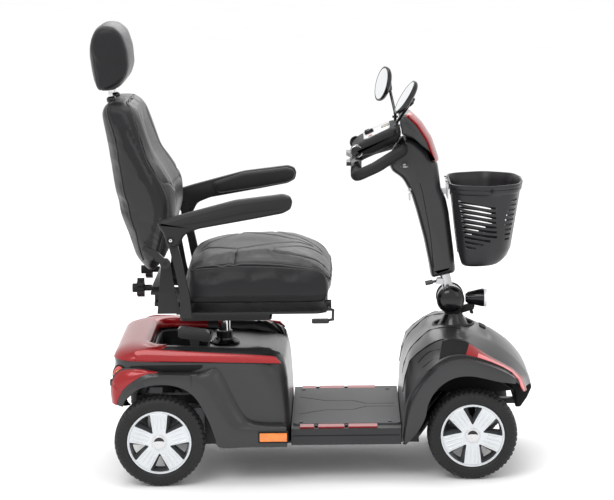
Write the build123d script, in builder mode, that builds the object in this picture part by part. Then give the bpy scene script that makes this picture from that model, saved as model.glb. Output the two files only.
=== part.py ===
from build123d import *
import os
from math import cos, sin, tan, radians, sqrt, atan2, degrees

os.makedirs("parts", exist_ok=True)

# Mobility scooter, four wheels, swivel captain's seat, tilting tiller.
# +X forward, +Y to the rider's left, +Z up, millimetres.
# Origin: centre of the bounding box in X and Y, on the floor the wheels stand on.

# ---------------------------------------------------------------- driving sizes
X_REAR = -451.0      # rear axle
X_FRONT = 457.0      # front axle
Z_AXLE = 132.0       # axle height, equal to the tyre radius
R_TYRE = 132.0
R_BEAD = 93.0        # tyre bead and rim seat
W_TYRE = 78.0
Y_REAR = 266.0       # wheel centre planes
Y_FRONT = 223.0
Y_KING = 150.0       # kingpins
X_STEM = 413.0       # steering axis
ARM = 50.0           # steering arms and pitman arm, parallelogram linkage
X_TILT, Z_TILT = 404.0, 492.0     # tiller tilt pivot
X_POST = -272.0      # seat post axis
R_POST = 18.0
Z_MAT = 165.0        # top of the floor mat
X_REC, Z_REC = -425.0, 650.0      # backrest pivot
X_ARM, Z_ARM = -403.0, 728.0      # armrest pivots
WALL = 4.0           # moulded shells
SLOPE = 24.0         # console and handlebar slope


def export(builder, name):
    builder.part.label = name
    export_step(builder.part, f"parts/{name}.step")


def prism(points, y0, y1, mode=Mode.ADD, radius=0.0, inset=0.0):
    """Side-view outline (x, z), extruded from y0 to y1 (y0 < y1)."""
    with BuildSketch(Plane.XZ.offset(-y1)) as s:
        Polygon(*points, align=None)
        if radius:
            fillet(s.vertices(), radius)
        if inset:
            offset(amount=-inset, kind=Kind.INTERSECTION, mode=Mode.REPLACE)
    extrude(to_extrude=s.sketch, amount=y1 - y0, mode=mode)


def box(x0, x1, y0, y1, z0, z1, mode=Mode.ADD):
    with Locations(((x0 + x1) / 2, (y0 + y1) / 2, (z0 + z1) / 2)):
        Box(x1 - x0, y1 - y0, z1 - z0, mode=mode)


def rod(p, q, r, mode=Mode.ADD):
    """Round bar from point p to point q."""
    a, b = Vector(*p), Vector(*q)
    with BuildSketch(Plane(origin=a, z_dir=(b - a))) as s:
        Circle(r)
    extrude(to_extrude=s.sketch, amount=(b - a).length, mode=mode)


def ball(p, r, mode=Mode.ADD):
    with Locations(p):
        Sphere(r, mode=mode)


def lathe_y(profile, x, z, y, sign, mode=Mode.ADD):
    """Profile (radius, offset along the axis), turned about a Y axis through (x, z). sign mirrors it outwards."""
    with BuildSketch(Plane(origin=(x, y, z), x_dir=(1, 0, 0), z_dir=(0, 0, 1))) as s:
        Polygon(*[(r, sign * t) for r, t in profile], align=None)
    revolve(profiles=s.sketch, axis=Axis((x, y, z), (0, 1, 0)), mode=mode)


# ---------------------------------------------------------------- wheels
tyre_profile = [(R_BEAD, -31), (98, -35), (108, -38.5), (118, -39), (126, -36), (130.5, -29), (R_TYRE, -18),
                (R_TYRE, 18), (130.5, 29), (126, 36), (118, 39), (108, 38.5), (98, 35), (R_BEAD, 31)]


def make_tyre(x, y, sign, name):
    with BuildPart() as tyre:
        lathe_y(tyre_profile, x, Z_AXLE, y, sign)
    export(tyre, name)


def make_rim(x, y, sign, bore, name, shaft=None):
    with BuildPart() as rim:
        # barrel, dished web on the outer side, hub
        lathe_y([(82, -31), (R_BEAD - 0.2, -31), (R_BEAD - 0.2, 34), (82, 34)], x, Z_AXLE, y, sign)
        lathe_y([(bore, 16), (90, 24), (90, 33), (60, 35), (bore, 31)], x, Z_AXLE, y, sign)
        lathe_y([(bore, -29), (22, -29), (22, 31), (bore, 31)], x, Z_AXLE, y, sign)
        # five triangular windows between five broad spokes
        with BuildSketch(Plane(origin=(x, y + sign * 10, Z_AXLE), x_dir=(1, 0, 0), z_dir=(0, sign, 0))) as win:
            with PolarLocations(0, 5, start_angle=90 + 36):
                Polygon((34, 0), (78, 21), (80, 0), (78, -21), align=None)
        extrude(amount=30, mode=Mode.SUBTRACT)
        # hub cap, a separate moulding
        lathe_y([(0, 33.4), (19, 33.4), (19, 37.5), (15, 38.6), (0, 38.9)], x, Z_AXLE, y, sign)
        if shaft:
            rod((x, y + sign * 30, Z_AXLE), (x, sign * 105, Z_AXLE), shaft)
    export(rim, name)


for side, s in (("right", -1), ("left", 1)):
    make_tyre(X_REAR, s * Y_REAR, s, f"rear_{side}_tyre")
    make_tyre(X_FRONT, s * Y_FRONT, s, f"front_{side}_tyre")
    make_rim(X_REAR, s * Y_REAR, s, 8.55, f"rear_{side}_rim", shaft=8.5)
    make_rim(X_FRONT, s * Y_FRONT, s, 8.08, f"front_{side}_rim")

# ---------------------------------------------------------------- frame, drive and batteries
with BuildPart() as main_frame:
    for s in (-1, 1):
        # under-deck rail, box tube
        with BuildSketch(Plane.YZ.offset(-300)):
            with Locations((s * 105, 95)):
                Rectangle(30, 30)
        extrude(amount=605)
        box(-330, -300, s * 105 - 15, s * 105 + 15, 80, 230)          # rear upright
        box(-530, -300, s * 105 - 15, s * 105 + 15, 204, 230)         # rail over the transaxle
        box(-470, -432, s * 105 - 15, s * 105 + 15, 152, 206)         # transaxle bracket
        rod((296, s * 96, 97), (404, s * 12, 222), 13)                # front brace to the head tube
        # kingpin clevis
        box(441, 473, min(s * 120, s * 166), max(s * 120, s * 166), 157, 169)
        box(441, 473, min(s * 118, s * 166), max(s * 118, s * 166), 95, 107)
        box(448, 466, min(s * 118, s * 130), max(s * 118, s * 130), 95, 169)
        rod((X_FRONT, s * Y_KING, 95), (X_FRONT, s * Y_KING, 169), 8)
    box(442, 472, -135, 135, 157, 187)                                 # front axle beam
    box(422, 446, -16, 16, 157, 187)                                   # gusset to the head tube
    box(470, 604, -12, 12, 168, 184)                                   # nose bar
    for x in (-322, -530 + 8, 280):
        box(x - 8, x + 14, -92, 92, 206 if x < 0 else 84, 228 if x < 0 else 106)
    box(-302, -245, -92, 92, 84, 106)                                  # seat post cross member
    box(-308, -288, -18, 18, 206, 228)
    rod((X_POST, 0, 84), (X_POST, 0, 400), 24)                         # seat post socket
    rod((X_STEM, 0, 150), (X_STEM, 0, 395), 20)                        # steering head tube
    for x in (-222, -128):
        box(x - 9, x + 9, -120, 120, 104, 112)                         # battery straps
    # freewheel lever bracket and its pin
    box(-368, -342, -120, -113, 228, 340)
    rod((-355, -116, 330), (-355, -80, 330), 4)
    # bores
    rod((X_STEM, 0, 149), (X_STEM, 0, 396), 12.08, mode=Mode.SUBTRACT)
    rod((X_POST, 0, 120), (X_POST, 0, 401), R_POST + 0.08, mode=Mode.SUBTRACT)
    for s in (-1, 1):
        rod((X_REAR, s * 80, Z_AXLE), (X_REAR, s * 130, Z_AXLE), 24.4, mode=Mode.SUBTRACT)
        with BuildSketch(Plane.YZ.offset(-299.9)):
            with Locations((s * 105, 95)):
                Rectangle(25, 25)
        extrude(amount=610, mode=Mode.SUBTRACT)
    # height-lock hole through the post socket
    rod((X_POST, -30, 372), (X_POST, -10, 372), 4.2, mode=Mode.SUBTRACT)
export(main_frame, "main_frame")

with BuildPart() as transaxle:
    rod((X_REAR, -48, Z_AXLE), (X_REAR, 48, Z_AXLE), 54)
    for s in (-1, 1):
        rod((X_REAR, s * 46, Z_AXLE), (X_REAR, s * 192, Z_AXLE), 24)
        rod((X_REAR, s * 100, Z_AXLE), (X_REAR, s * 193, Z_AXLE), 8.6, mode=Mode.SUBTRACT)
    box(-412, -391, -26, 26, 118, 176)
    # drive motor with its parking brake, a separate can bolted to the gearbox neck
    rod((-349, -62, 147), (-349, 78, 147), 38)
    rod((-349, -76, 147), (-349, -62.2, 147), 33)
export(transaxle, "transaxle")

with BuildPart() as batteries:
    for s in (-1, 1):
        box(-238, -96, min(s * 6, s * 200), max(s * 6, s * 200), 112, 292)
        for x in (-215, -120):
            box(x - 8, x + 8, s * 100 - 8, s * 100 + 8, 292, 300)
export(batteries, "batteries")

# ---------------------------------------------------------------- rear bodywork
rear_side = [(-74, 112), (-80, 200), (-88, 330), (-98, 368), (-118, 386), (-336, 391), (-336, 352),
             (-560, 352), (-576, 338), (-568, 290), (-556, 270), (-556, 112)]
with BuildPart() as rear_body_shell:
    prism(rear_side, -262, 262)
    # inside: one space, narrowed between the wheel wells
    prism([(-82, 106), (-88, 200), (-96, 328), (-104, 364), (-122, 366), (-336, 366), (-336, 348),
           (-556, 348), (-570, 336), (-563, 292), (-550, 270), (-550, 106)], -205, 205, mode=Mode.SUBTRACT)
    prism([(-82, 106), (-88, 200), (-96, 328), (-104, 364), (-122, 366), (-262, 366), (-262, 106)], -258, 258, mode=Mode.SUBTRACT)
    prism([(-262, 366), (-336, 366), (-336, 348), (-556, 348), (-558, 312), (-262, 312)], -258, 258, mode=Mode.SUBTRACT)
    for s in (-1, 1):
        # wheel wells
        rod((X_REAR, s * 209, Z_AXLE), (X_REAR, s * 270, Z_AXLE), 172, mode=Mode.SUBTRACT)
        box(-640, -300, min(s * 209, s * 270), max(s * 209, s * 270), 60, 150, mode=Mode.SUBTRACT)
        rod((X_REAR, s * 200, Z_AXLE), (X_REAR, s * 212, Z_AXLE), 30, mode=Mode.SUBTRACT)
    # seat well in the top: shallow tray, then a through opening round the post
    prism([(-126, 392), (-110, 376), (-400, 376), (-400, 420), (-126, 420)], -186, 186, mode=Mode.SUBTRACT)
    box(-400, -232, -150, 150, 340, 420, mode=Mode.SUBTRACT)
    box(-470, -330, -186, 186, 340, 420, mode=Mode.SUBTRACT)
export(rear_body_shell, "rear_body_shell")

with BuildPart() as rear_top_cover:
    cover = [(-338, 353), (-338, 392), (-420, 397), (-480, 398), (-528, 394), (-562, 378), (-590, 352), (-602, 336), (-578, 341), (-562, 353)]
    prism(cover, -266, 266)
    prism([(-330, 340), (-330, 388), (-420, 393), (-480, 394), (-526, 390), (-558, 375), (-576, 357), (-560, 340)], -262, 262, mode=Mode.SUBTRACT)
    box(-458, -330, -186, 186, 340, 420, mode=Mode.SUBTRACT)
    # lip that returns down round the well
    for s in (-1, 1):
        prism([(-338, 353), (-338, 378), (-110, 369), (-97, 352), (-110, 349)], min(s * 262.2, s * 266), max(s * 262.2, s * 266))
export(rear_top_cover, "rear_top_cover")

arch = [(-553, 278), (-529, 308), (-500, 326), (-441, 331), (-366, 330), (-320, 304), (-296, 262), (-262, 176), (-219, 165),
        (-86, 170), (-81, 116), (-232, 113), (-250, 104), (-276, 106), (-292, 145), (-309, 180), (-325, 220), (-350, 256), (-395, 291), (-454, 300), (-501, 292), (-531, 276)]
with BuildPart() as rear_fenders:
    for s in (-1, 1):
        a, b = min(s * 262.2, s * 296), max(s * 262.2, s * 296)
        prism(arch, a, b)
        # hollow from the inner side
        c, d = (262.0, 292.0)
        prism([(-540, 283), (-521, 304), (-497, 321), (-441, 326), (-368, 325), (-325, 301), (-300, 260), (-267, 172), (-222, 160), (-92, 165),
               (-87, 120), (-234, 117), (-250, 108), (-274, 110), (-296, 158), (-313, 194), (-328, 226), (-352, 262), (-396, 296), (-454, 305), (-501, 298)],
              min(s * c, s * d), max(s * c, s * d), mode=Mode.SUBTRACT)
        prism([(-86, 170), (-81, 116), (-232, 113), (-250, 104), (-276, 106), (-292, 145), (-262, 176), (-219, 165)], min(s * 262.2, s * 266), max(s * 262.2, s * 266))
    # rear bumper apron, a curved panel between the fenders
    prism([(-604, 332), (-598, 300), (-590, 262), (-583, 232), (-562, 228), (-566, 240), (-574, 268), (-582, 302), (-586, 330)], -236, 236)
export(rear_fenders, "rear_fenders")

with BuildPart() as lamps_reflectors:
    for s in (-1, 1):
        a, b = min(s * 236.5, s * 262), max(s * 236.5, s * 262)
        prism([(-602.6, 332), (-590, 336.4), (-580, 338), (-577.2, 336), (-571, 300), (-586, 296)], a, b)      # rear lamp cluster
        a, b = min(s * 296.2, s * 299), max(s * 296.2, s * 299)
        prism([(-163, 128), (-80, 128), (-82, 158), (-163, 158)], a, b)                      # amber side reflector
export(lamps_reflectors, "lamps_reflectors")

# ---------------------------------------------------------------- floor
with BuildPart() as floor_pan:
    box(-70, 249, -268, 268, 112, 160)
    box(-66, 245, -264, 264, 106, 155, mode=Mode.SUBTRACT)
export(floor_pan, "floor_pan")

with BuildPart() as floor_mat:
    with BuildSketch(Plane.XY.offset(160)):
        with Locations((92, 0)):
            RectangleRounded(312, 444, 12)
    extrude(amount=5)
    # moulded drain grooves
    with BuildSketch(Plane.XY.offset(163.5)):
        with BuildLine():
            Polyline((-50, -110), (30, -60), (110, -60), (150, -20), (236, -20), (236, -16), (148, -16), (108, -56), (28, -56), (-50, -105), close=True)
        make_face()
        with BuildLine():
            Polyline((-50, 110), (30, 60), (110, 60), (150, 20), (236, 20), (236, 16), (148, 16), (108, 56), (28, 56), (-50, 105), close=True)
        make_face()
    extrude(amount=3, mode=Mode.SUBTRACT)
export(floor_mat, "floor_mat")

with BuildPart() as deck_trim_strips:
    for s in (-1, 1):
        a, b = min(s * 226, s * 260), max(s * 226, s * 260)
        for x0, x1 in ((-45, -4), (8, 84), (96, 180)):
            box(x0, x1, a, b, 160.0, 164.5)
export(deck_trim_strips, "deck_trim_strips")

with BuildPart() as deck_screws:
    for x in (-42, 218):
        for y in (-205, 205):
            with Locations((x, y, 166.2)):
                Cylinder(6, 2.4)
    for x in (2, 90):
        for y in (-243, 243):
            with Locations((x, y, 162.5)):
                Cylinder(4.4, 5)
export(deck_screws, "deck_screws")

# ---------------------------------------------------------------- front bodywork
top_line = [(253, 280), (257, 300), (263, 322), (282, 365), (307, 394), (338, 426), (359, 436), (384, 438), (448, 436), (485, 424), (520, 402),
            (564, 368), (596, 335), (626, 293), (640, 256), (645, 226)]
with BuildPart() as front_cowl:
    prism(top_line[:-2] + [(636, 268), (560, 284)], -200, 200)
    prism([(249.5, 125), (252, 290), (560, 290), (626, 293), (640, 256), (645, 226), (622, 176), (560, 140), (500, 125)], -105, 105)
    prism([(249.5, 112), (253, 286), (275, 286), (286, 270), (286, 112)], -262, 262)
    prism([(257, 284), (261, 302), (267, 323), (286, 362), (310, 391), (340, 422), (360, 432), (384, 434), (447, 432), (483, 420), (517, 398),
           (561, 364), (592, 331), (621, 291), (628, 274), (560, 288)], -196, 196, mode=Mode.SUBTRACT)
    prism([(253.5, 100), (256, 292), (560, 292), (622, 292), (636, 256), (640, 227), (618, 179), (560, 130), (500, 100)], -101, 101, mode=Mode.SUBTRACT)
    prism([(253.5, 100), (257, 282), (271, 282), (282, 268), (282, 100)], -258, 258, mode=Mode.SUBTRACT)
    # steering opening in the crown
    rod((X_STEM, 0, 400), (X_STEM, 0, 450), 62, mode=Mode.SUBTRACT)
    # axle beam slots
    box(430, 486, -110, 110, 100, 196, mode=Mode.SUBTRACT)
    # mouth to the braces and rails at the back
    box(180, 320, -130, 130, 60, 118, mode=Mode.SUBTRACT)
export(front_cowl, "front_cowl")

fender_top = [(293, 282), (317, 313), (352, 346), (384, 366), (412, 372), (450, 369), (502, 353), (537, 338), (569, 320), (586, 300)]
lip = [(560, 298), (538, 298), (496, 305), (454, 313), (415, 314), (384, 300), (352, 275), (328, 246)]
with BuildPart() as front_fenders:
    for s in (-1, 1):
        prism(fender_top + lip, min(s * 200.4, s * 288), max(s * 200.4, s * 288))
        prism([(316, 290), (322, 305), (355, 339), (386, 359), (412, 365), (449, 362), (500, 346), (534, 331), (562, 315), (566, 290), (538, 280), (496, 280), (454, 280), (415, 280), (384, 270), (352, 260)],
              min(s * 200, s * 284), max(s * 200, s * 284), mode=Mode.SUBTRACT)
        # rear skirt behind the wheel
        prism([(250, 112), (262, 110), (310, 166), (320, 212), (328, 246), (340, 262), (300, 288), (272, 262), (256, 190)], min(s * 262.4, s * 288), max(s * 262.4, s * 288))
export(front_fenders, "front_fenders")

with BuildPart() as front_accents:
    for s in (-1, 1):
        prism([(430, 410), (468, 402), (500, 394), (553, 366), (588, 335), (610, 303), (592, 310), (574, 322), (543, 337.5), (503, 355), (452, 371), (437, 372.6)],
              min(s * 200.4, s * 205), max(s * 200.4, s * 205))
export(front_accents, "front_accents")

# ---------------------------------------------------------------- steering
for side, s in (("right", -1), ("left", 1)):
    with BuildPart() as knuckle:
        rod((X_FRONT, s * Y_KING, 107.5), (X_FRONT, s * Y_KING, 156.5), 15)
        rod((X_FRONT, s * (Y_KING + 12), Z_AXLE), (X_FRONT, s * 256, Z_AXLE), 8)
        rod((X_FRONT, s * (Y_KING + 12), Z_AXLE), (X_FRONT, s * 184, Z_AXLE), 12)
        with BuildSketch(Plane.XY.offset(112)):
            with Locations((X_FRONT - ARM / 2, s * Y_KING)):
                SlotCenterToCenter(ARM, 20)
        extrude(amount=8)
        rod((X_FRONT, s * Y_KING, 100), (X_FRONT, s * Y_KING, 160), 8.08, mode=Mode.SUBTRACT)
        rod((X_FRONT - ARM, s * Y_KING, 105), (X_FRONT - ARM, s * Y_KING, 125), 5.08, mode=Mode.SUBTRACT)
    export(knuckle, f"{side}_steering_knuckle")

with BuildPart() as tie_rods:
    X_PIN = X_STEM - ARM
    X_END = X_FRONT - ARM
    for s, z in ((1, 106), (-1, 95)):
        rod((X_PIN, 0, z), (X_END, s * Y_KING, z), 4.5)
        rod((X_PIN, 0, z - 5.2), (X_PIN, 0, z + 5.2), 10)
        rod((X_END, s * Y_KING, z - 5.2), (X_END, s * Y_KING, z + 5.2), 9)
        rod((X_END, s * Y_KING, z), (X_END, s * Y_KING, 121), 5)
    rod((X_PIN, 0, 86), (X_PIN, 0, 121), 5.0)
export(tie_rods, "tie_rods")

with BuildPart() as steering_stem:
    rod((X_STEM, 0, 104), (X_STEM, 0, 438), 12)
    with BuildSketch(Plane.XY.offset(112)):
        with Locations((X_STEM - ARM / 2, 0)):
            SlotCenterToCenter(ARM, 26)
    extrude(amount=8)
    rod((X_STEM, 0, 396), (X_STEM, 0, 402), 19)
    rod((X_STEM - ARM, 0, 105), (X_STEM - ARM, 0, 125), 5.08, mode=Mode.SUBTRACT)
export(steering_stem, "steering_stem")

with BuildPart() as tilt_joint_housing:
    # flared boot, bored for the stem
    with BuildSketch(Plane(origin=(X_STEM, 0, 0), x_dir=(1, 0, 0), z_dir=(0, -1, 0))):
        Polygon((12.1, 408), (50, 408), (49, 414), (38, 424), (30, 436), (27, 450), (0, 450), (0, 440), (12.1, 440), align=None)
    revolve(axis=Axis((X_STEM, 0, 0), (0, 0, 1)))
    box(382, 432, -43, 43, 442, 451.5)
    for s in (-1, 1):
        rod((X_TILT, s * 28.5, Z_TILT), (X_TILT, s * 44, Z_TILT), 41.5)
        box(382, 428, min(s * 28.5, s * 43), max(s * 28.5, s * 43), 448, 470)
    rod((X_TILT, -43, Z_TILT), (X_TILT, 43, Z_TILT), 8)
    # lamp bracket arms
    for s in (-1, 1):
        prism([(430, 444), (470, 452), (474, 464), (464, 472), (452, 468), (436, 458)], min(s * 10.2, s * 14), max(s * 10.2, s * 14))
    box(428, 446, -14, 14, 443, 452)
    rod((463, -14, 461), (463, 14, 461), 3)
export(tilt_joint_housing, "tilt_joint_housing")

with BuildPart() as headlight:
    with BuildSketch(Plane(origin=(0, 0, 491), x_dir=(1, 0, 0), z_dir=(0, -1, 0))):
        Polygon((449, 0), (449, 14), (462, 20), (490, 25), (504, 27), (508, 27), (508, 24), (490, 21.5), (465, 17), (460, 0), align=None)
    revolve(axis=Axis((449, 0, 491), (1, 0, 0)))
    box(456, 470, -9.6, 9.6, 456, 473)
    rod((463, -12, 461), (463, 12, 461), 3.08, mode=Mode.SUBTRACT)
    # clear lens, a separate moulding in the mouth of the shell
    with BuildSketch(Plane(origin=(0, 0, 491), x_dir=(1, 0, 0), z_dir=(0, -1, 0))):
        Polygon((508.2, 0), (508.2, 27), (513, 26), (517, 20), (518.5, 0), align=None)
    revolve(axis=Axis((508, 0, 491), (1, 0, 0)))
export(headlight, "headlight")

# ---------------------------------------------------------------- tiller
LEAN = (-0.215, 0, 0.9766)
TX = lambda z: X_TILT - 0.22015 * (z - Z_TILT)
with BuildPart() as tiller_tube:
    rod((X_TILT, -27.8, Z_TILT), (X_TILT, 27.8, Z_TILT), 38)
    rod((TX(512), 0, 512), (TX(866), 0, 866), 16)
    # lever lugs
    for s in (-1, 1):
        prism([(360, 536), (391, 534), (391, 552), (366, 552)], min(s * 9.2, s * 13), max(s * 9.2, s * 13))
    rod((367, -12, 543), (367, 12, 543), 3)
    rod((X_TILT, -30, Z_TILT), (X_TILT, 30, Z_TILT), 8.08, mode=Mode.SUBTRACT)
    # basket carrier, welded to the tube and passing through the front of the shroud
    box(330, 394, -9, 9, 806, 824)
    box(393.5, 397, -70, 70, 800, 846)
export(tiller_tube, "tiller_tube")

with BuildPart() as tilt_lever:
    rod((367, -8.8, 543), (367, 8.8, 543), 5.5)
    rod((367, 0, 543), (341, 0, 538), 4)
    rod((352, 0, 540.2), (330, 0, 536), 7)
    rod((367, -12, 543), (367, 12, 543), 3.08, mode=Mode.SUBTRACT)
export(tilt_lever, "tilt_lever")

# wraparound handlebar: one closed loop in a plane that slopes up towards the front
U = (cos(radians(SLOPE)), 0, sin(radians(SLOPE)))
bar_plane = Plane(origin=(127, 0, 890), x_dir=U, z_dir=(-sin(radians(SLOPE)), 0, cos(radians(SLOPE))))


def handlebar(r, mode=Mode.ADD):
    with BuildLine(bar_plane) as path:
        FilletPolyline((0, -205), (0, 205), (62, 205), (146, 110), (146, -110), (62, -205), radius=26, close=True)
    with BuildSketch(Plane(origin=path.line @ 0, z_dir=path.line % 0)) as s:
        Circle(r)
    sweep(sections=s.sketch, path=path.line, mode=mode)


with BuildPart() as delta_handlebar:
    handlebar(17)
export(delta_handlebar, "delta_handlebar")

shroud_side = [(346, 556), (339, 601), (324, 678), (302, 762), (287, 811), (262, 857), (232, 878), (222, 900), (236, 945), (268, 985), (300, 975), (340, 940),
               (368, 900), (377, 826), (392, 791), (400, 753), (414, 638), (420, 573)]
with BuildPart() as tiller_shroud:
    prism(shroud_side, -50, 50)
    prism(shroud_side, -46, 46, mode=Mode.SUBTRACT, inset=4)
    prism([(340, 540), (352, 575), (414, 580), (430, 560)], -46, 46, mode=Mode.SUBTRACT)      # open lower end
    handlebar(17.4, mode=Mode.SUBTRACT)
    # slot for the basket carrier
    prism([(360, 796), (360, 850), (410, 850), (410, 796)], -75, 75, mode=Mode.SUBTRACT)
    # ignition lock hole
    rod((268, -60, 900), (268, -40, 900), 5.2, mode=Mode.SUBTRACT)
export(tiller_shroud, "tiller_shroud")

with BuildPart() as dash_console:
    dash = [(120, 930), (113, 950), (137, 974), (193, 1000), (240, 1020), (262, 1000), (250, 972), (176, 937)]
    prism(dash, -118, 118)
    prism(dash, -114, 114, mode=Mode.SUBTRACT, inset=4)
    rod((140, 0, 925), (140, 0, 940), 4.08, mode=Mode.SUBTRACT)                               # throttle pivot
    for s in (-1, 1):
        rod((246, s * 112, 1003), (246, s * 112, 1021), 7)                                    # mirror sockets
        rod((246, s * 112, 1000), (246, s * 112, 1022), 4.6, mode=Mode.SUBTRACT)
    # dial and button wells
    top = Plane(origin=(168, 0, 988.4), x_dir=(0, 1, 0), z_dir=(-sin(radians(SLOPE)), 0, cos(radians(SLOPE))))
    with BuildSketch(top.offset(-8)):
        Circle(4.08)
        with Locations((-78, -2), ):
            Circle(7.6)
    extrude(amount=20, mode=Mode.SUBTRACT)
export(dash_console, "dash_console")

with BuildPart() as tiller_front_cover:
    prism([(268, 1008), (262, 1046), (280, 1056), (292, 1052), (322, 1022), (351, 976), (370, 919), (373, 905), (346, 942), (304, 979), (270, 991)], -92, 92)
    prism([(260, 1012), (266, 1040), (281, 1050), (290, 1047), (318, 1018), (346, 974), (362, 930), (344, 937), (300, 970), (262, 985)], -88, 88, mode=Mode.SUBTRACT)
export(tiller_front_cover, "tiller_front_cover")

with BuildPart() as throttle_lever:
    with BuildSketch(Plane.XY.offset(911)):
        with BuildLine():
            Polyline((134, -14), (146, -14), (146, 14), (134, 14), (112, 96), (112, 138), (98, 138), (98, 92), (122, 0), (98, -92), (98, -138), (112, -138), (112, -96), close=True)
        make_face()
    extrude(amount=11)
    rod((140, 0, 911), (140, 0, 938), 4)
export(throttle_lever, "throttle_lever")

with BuildPart() as speed_dial:
    with BuildSketch(top.offset(0.4)):
        RegularPolygon(15, 12)
    extrude(amount=12)
    with BuildSketch(top.offset(-7.5)):
        Circle(4)
    extrude(amount=10)
export(speed_dial, "speed_dial")

with BuildPart() as horn_button:
    with BuildSketch(top.offset(-2.5)):
        with Locations((-78, -2)):
            Circle(7.25)
    extrude(amount=6.5)
    fillet(horn_button.faces().sort_by(Axis.Z)[-1].edges(), 1.2)
export(horn_button, "horn_button")

with BuildPart() as ignition_key:
    rod((268, -62, 900), (268, -42, 900), 5.1)
    box(263, 273, -80, -62, 898.8, 901.2)
    with BuildSketch(Plane(origin=(268, -85, 900), x_dir=(1, 0, 0), z_dir=(0, 0, 1)).offset(-1.2)):
        Circle(11)
    extrude(amount=2.4)
    with BuildSketch(Plane(origin=(268, -88, 900), x_dir=(1, 0, 0), z_dir=(0, 0, 1)).offset(-2)):
        Circle(3)
    extrude(amount=4, mode=Mode.SUBTRACT)
    # split ring, short link chain and tag, hanging beside the tiller
    for i in range(9):
        with Locations((269 + 1.6 * i, -88, 889 - 7.2 * i)):
            Torus(4.2, 1.0, rotation=(90, 0, 40 if i % 2 else -50))
    box(279, 285, -91, -85, 800, 822)
export(ignition_key, "ignition_key")

# mirrors: threaded stalk and shell are one turning piece, the glass is set into the shell
mirror_set = (("right", -1, (266, -196, 1118), (0.83, 0.16, -0.53)), ("left", 1, (206, 192, 1116), (0.90, 0.36, -0.24)))


def stalk_end(s, c, n):
    """Centre of the swivel behind a mirror shell, and the direction of the stalk that it turns on."""
    foot = Vector(*c) + Vector(*n) * 26
    return foot, (foot - Vector(246, s * 112, 1034)).normalized()


with BuildPart() as mirror_stalks:
    for side, s, c, n in mirror_set:
        foot, along = stalk_end(s, c, n)
        rod((246, s * 112, 1002), (246, s * 112, 1034), 4.5)
        ball((246, s * 112, 1034), 5.2)
        rod((246, s * 112, 1034), tuple(foot + along * 5), 4.5)
        with Locations((246, s * 112, 1024.3)):
            Cylinder(9, 6)
export(mirror_stalks, "mirror_stalks")

for side, s, c, n in mirror_set:
    mp = Plane(origin=c, x_dir=Vector(0, 1, 0).cross(Vector(*n)).normalized(), z_dir=n)
    with BuildPart() as mirror:
        with BuildSketch(mp):
            Ellipse(54, 44)
        with BuildSketch(mp.offset(20)):
            Ellipse(40, 31)
        loft()
        with BuildSketch(mp.offset(-0.001)):
            Ellipse(50, 40)
        extrude(amount=3, mode=Mode.SUBTRACT)
        with BuildSketch(mp.offset(2)):
            Ellipse(48, 38)
        with BuildSketch(mp.offset(17)):
            Ellipse(36, 27)
        loft(mode=Mode.SUBTRACT)
        # swivel boss behind the shell, bored for the stalk
        foot, along = stalk_end(s, c, n)
        rod(tuple(foot - along * 9), tuple(foot + along * 9), 8)
        rod(tuple(Vector(*c) + Vector(*n) * 18), tuple(foot), 6)
        rod(tuple(foot - along * 30), tuple(foot + along * 6), 4.58, mode=Mode.SUBTRACT)
    export(mirror, f"{side}_mirror")
    with BuildPart() as glass:
        with BuildSketch(mp.offset(0.4)):
            Ellipse(49.6, 39.6)
        extrude(amount=2.4)
    export(glass, f"{side}_mirror_glass")

# ---------------------------------------------------------------- basket
def tub(x0, x1, w0, w1, z, nose):
    """D-shaped outline: flat back at x0 of half width w0, sides widening to w1, rounded front at x1."""
    with BuildSketch(Plane.XY.offset(z)) as s:
        with BuildLine():
            Polyline((x0, -w0), (x1 - nose, -w1), (x1 - nose * 0.42, -w1 * 0.86), (x1, -w1 * 0.42), (x1, w1 * 0.42), (x1 - nose * 0.42, w1 * 0.86), (x1 - nose, w1), (x0, w0), close=True)
        make_face()
        fillet(s.vertices(), 14)
    return s.sketch


with BuildPart() as basket:
    loft(sections=[tub(430, 575, 108, 112, 602, 60), tub(402, 614, 128, 164, 850, 92)])
    extrude(to_extrude=tub(399, 618, 130, 167, 824, 92), amount=26)                           # rim band
    loft(sections=[tub(434, 571, 104, 108, 606, 58), tub(406, 610, 124, 160, 851, 90)], mode=Mode.SUBTRACT)
    # side louvres, in both walls
    for i in range(9):
        z = 790 - i * 15.5
        x0 = 438 + i * 1.5
        x1 = 522 - max(0, i - 5) * 22
        prism([(x0, z), (x1, z - 4), (x1, z - 11), (x0, z - 7)], -200, 200, mode=Mode.SUBTRACT)
    # front louvres
    for i in range(8):
        z = 786 - i * 15.5
        with BuildSketch(Plane.YZ.offset(560)):
            with Locations((0, z)):
                RectangleRounded(96, 7, 3)
        extrude(amount=90, mode=Mode.SUBTRACT)
    # hooks that drop over the carrier plate
    for s in (-1, 1):
        prism([(389.5, 850), (403, 850), (403, 838), (399, 838), (397.8, 846.8), (392.7, 846.8), (392.7, 838), (389.5, 838)], min(s * 40, s * 60), max(s * 40, s * 60))
export(basket, "basket")

# ---------------------------------------------------------------- seat
with BuildPart() as freewheel_lever:
    rod((-355, -110, 330), (-355, -84, 330), 10)
    prism([(-363, 330), (-347, 330), (-342, 392), (-371, 398)], -107, -89)
    prism([(-404, 404), (-396, 399), (-318, 387), (-310, 392), (-312, 413), (-320, 420), (-396, 431), (-404, 426)], -111, -80)
    rod((-355, -130, 330), (-355, -60, 330), 4.08, mode=Mode.SUBTRACT)
export(freewheel_lever, "freewheel_lever")

with BuildPart() as seat_post:
    rod((X_POST, 0, 200), (X_POST, 0, 450), R_POST)
    rod((X_POST, 0, 442), (X_POST, 0, 450), 26)
    rod((X_POST, 0, 448), (X_POST, 0, 468), 13)
export(seat_post, "seat_post")

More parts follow.
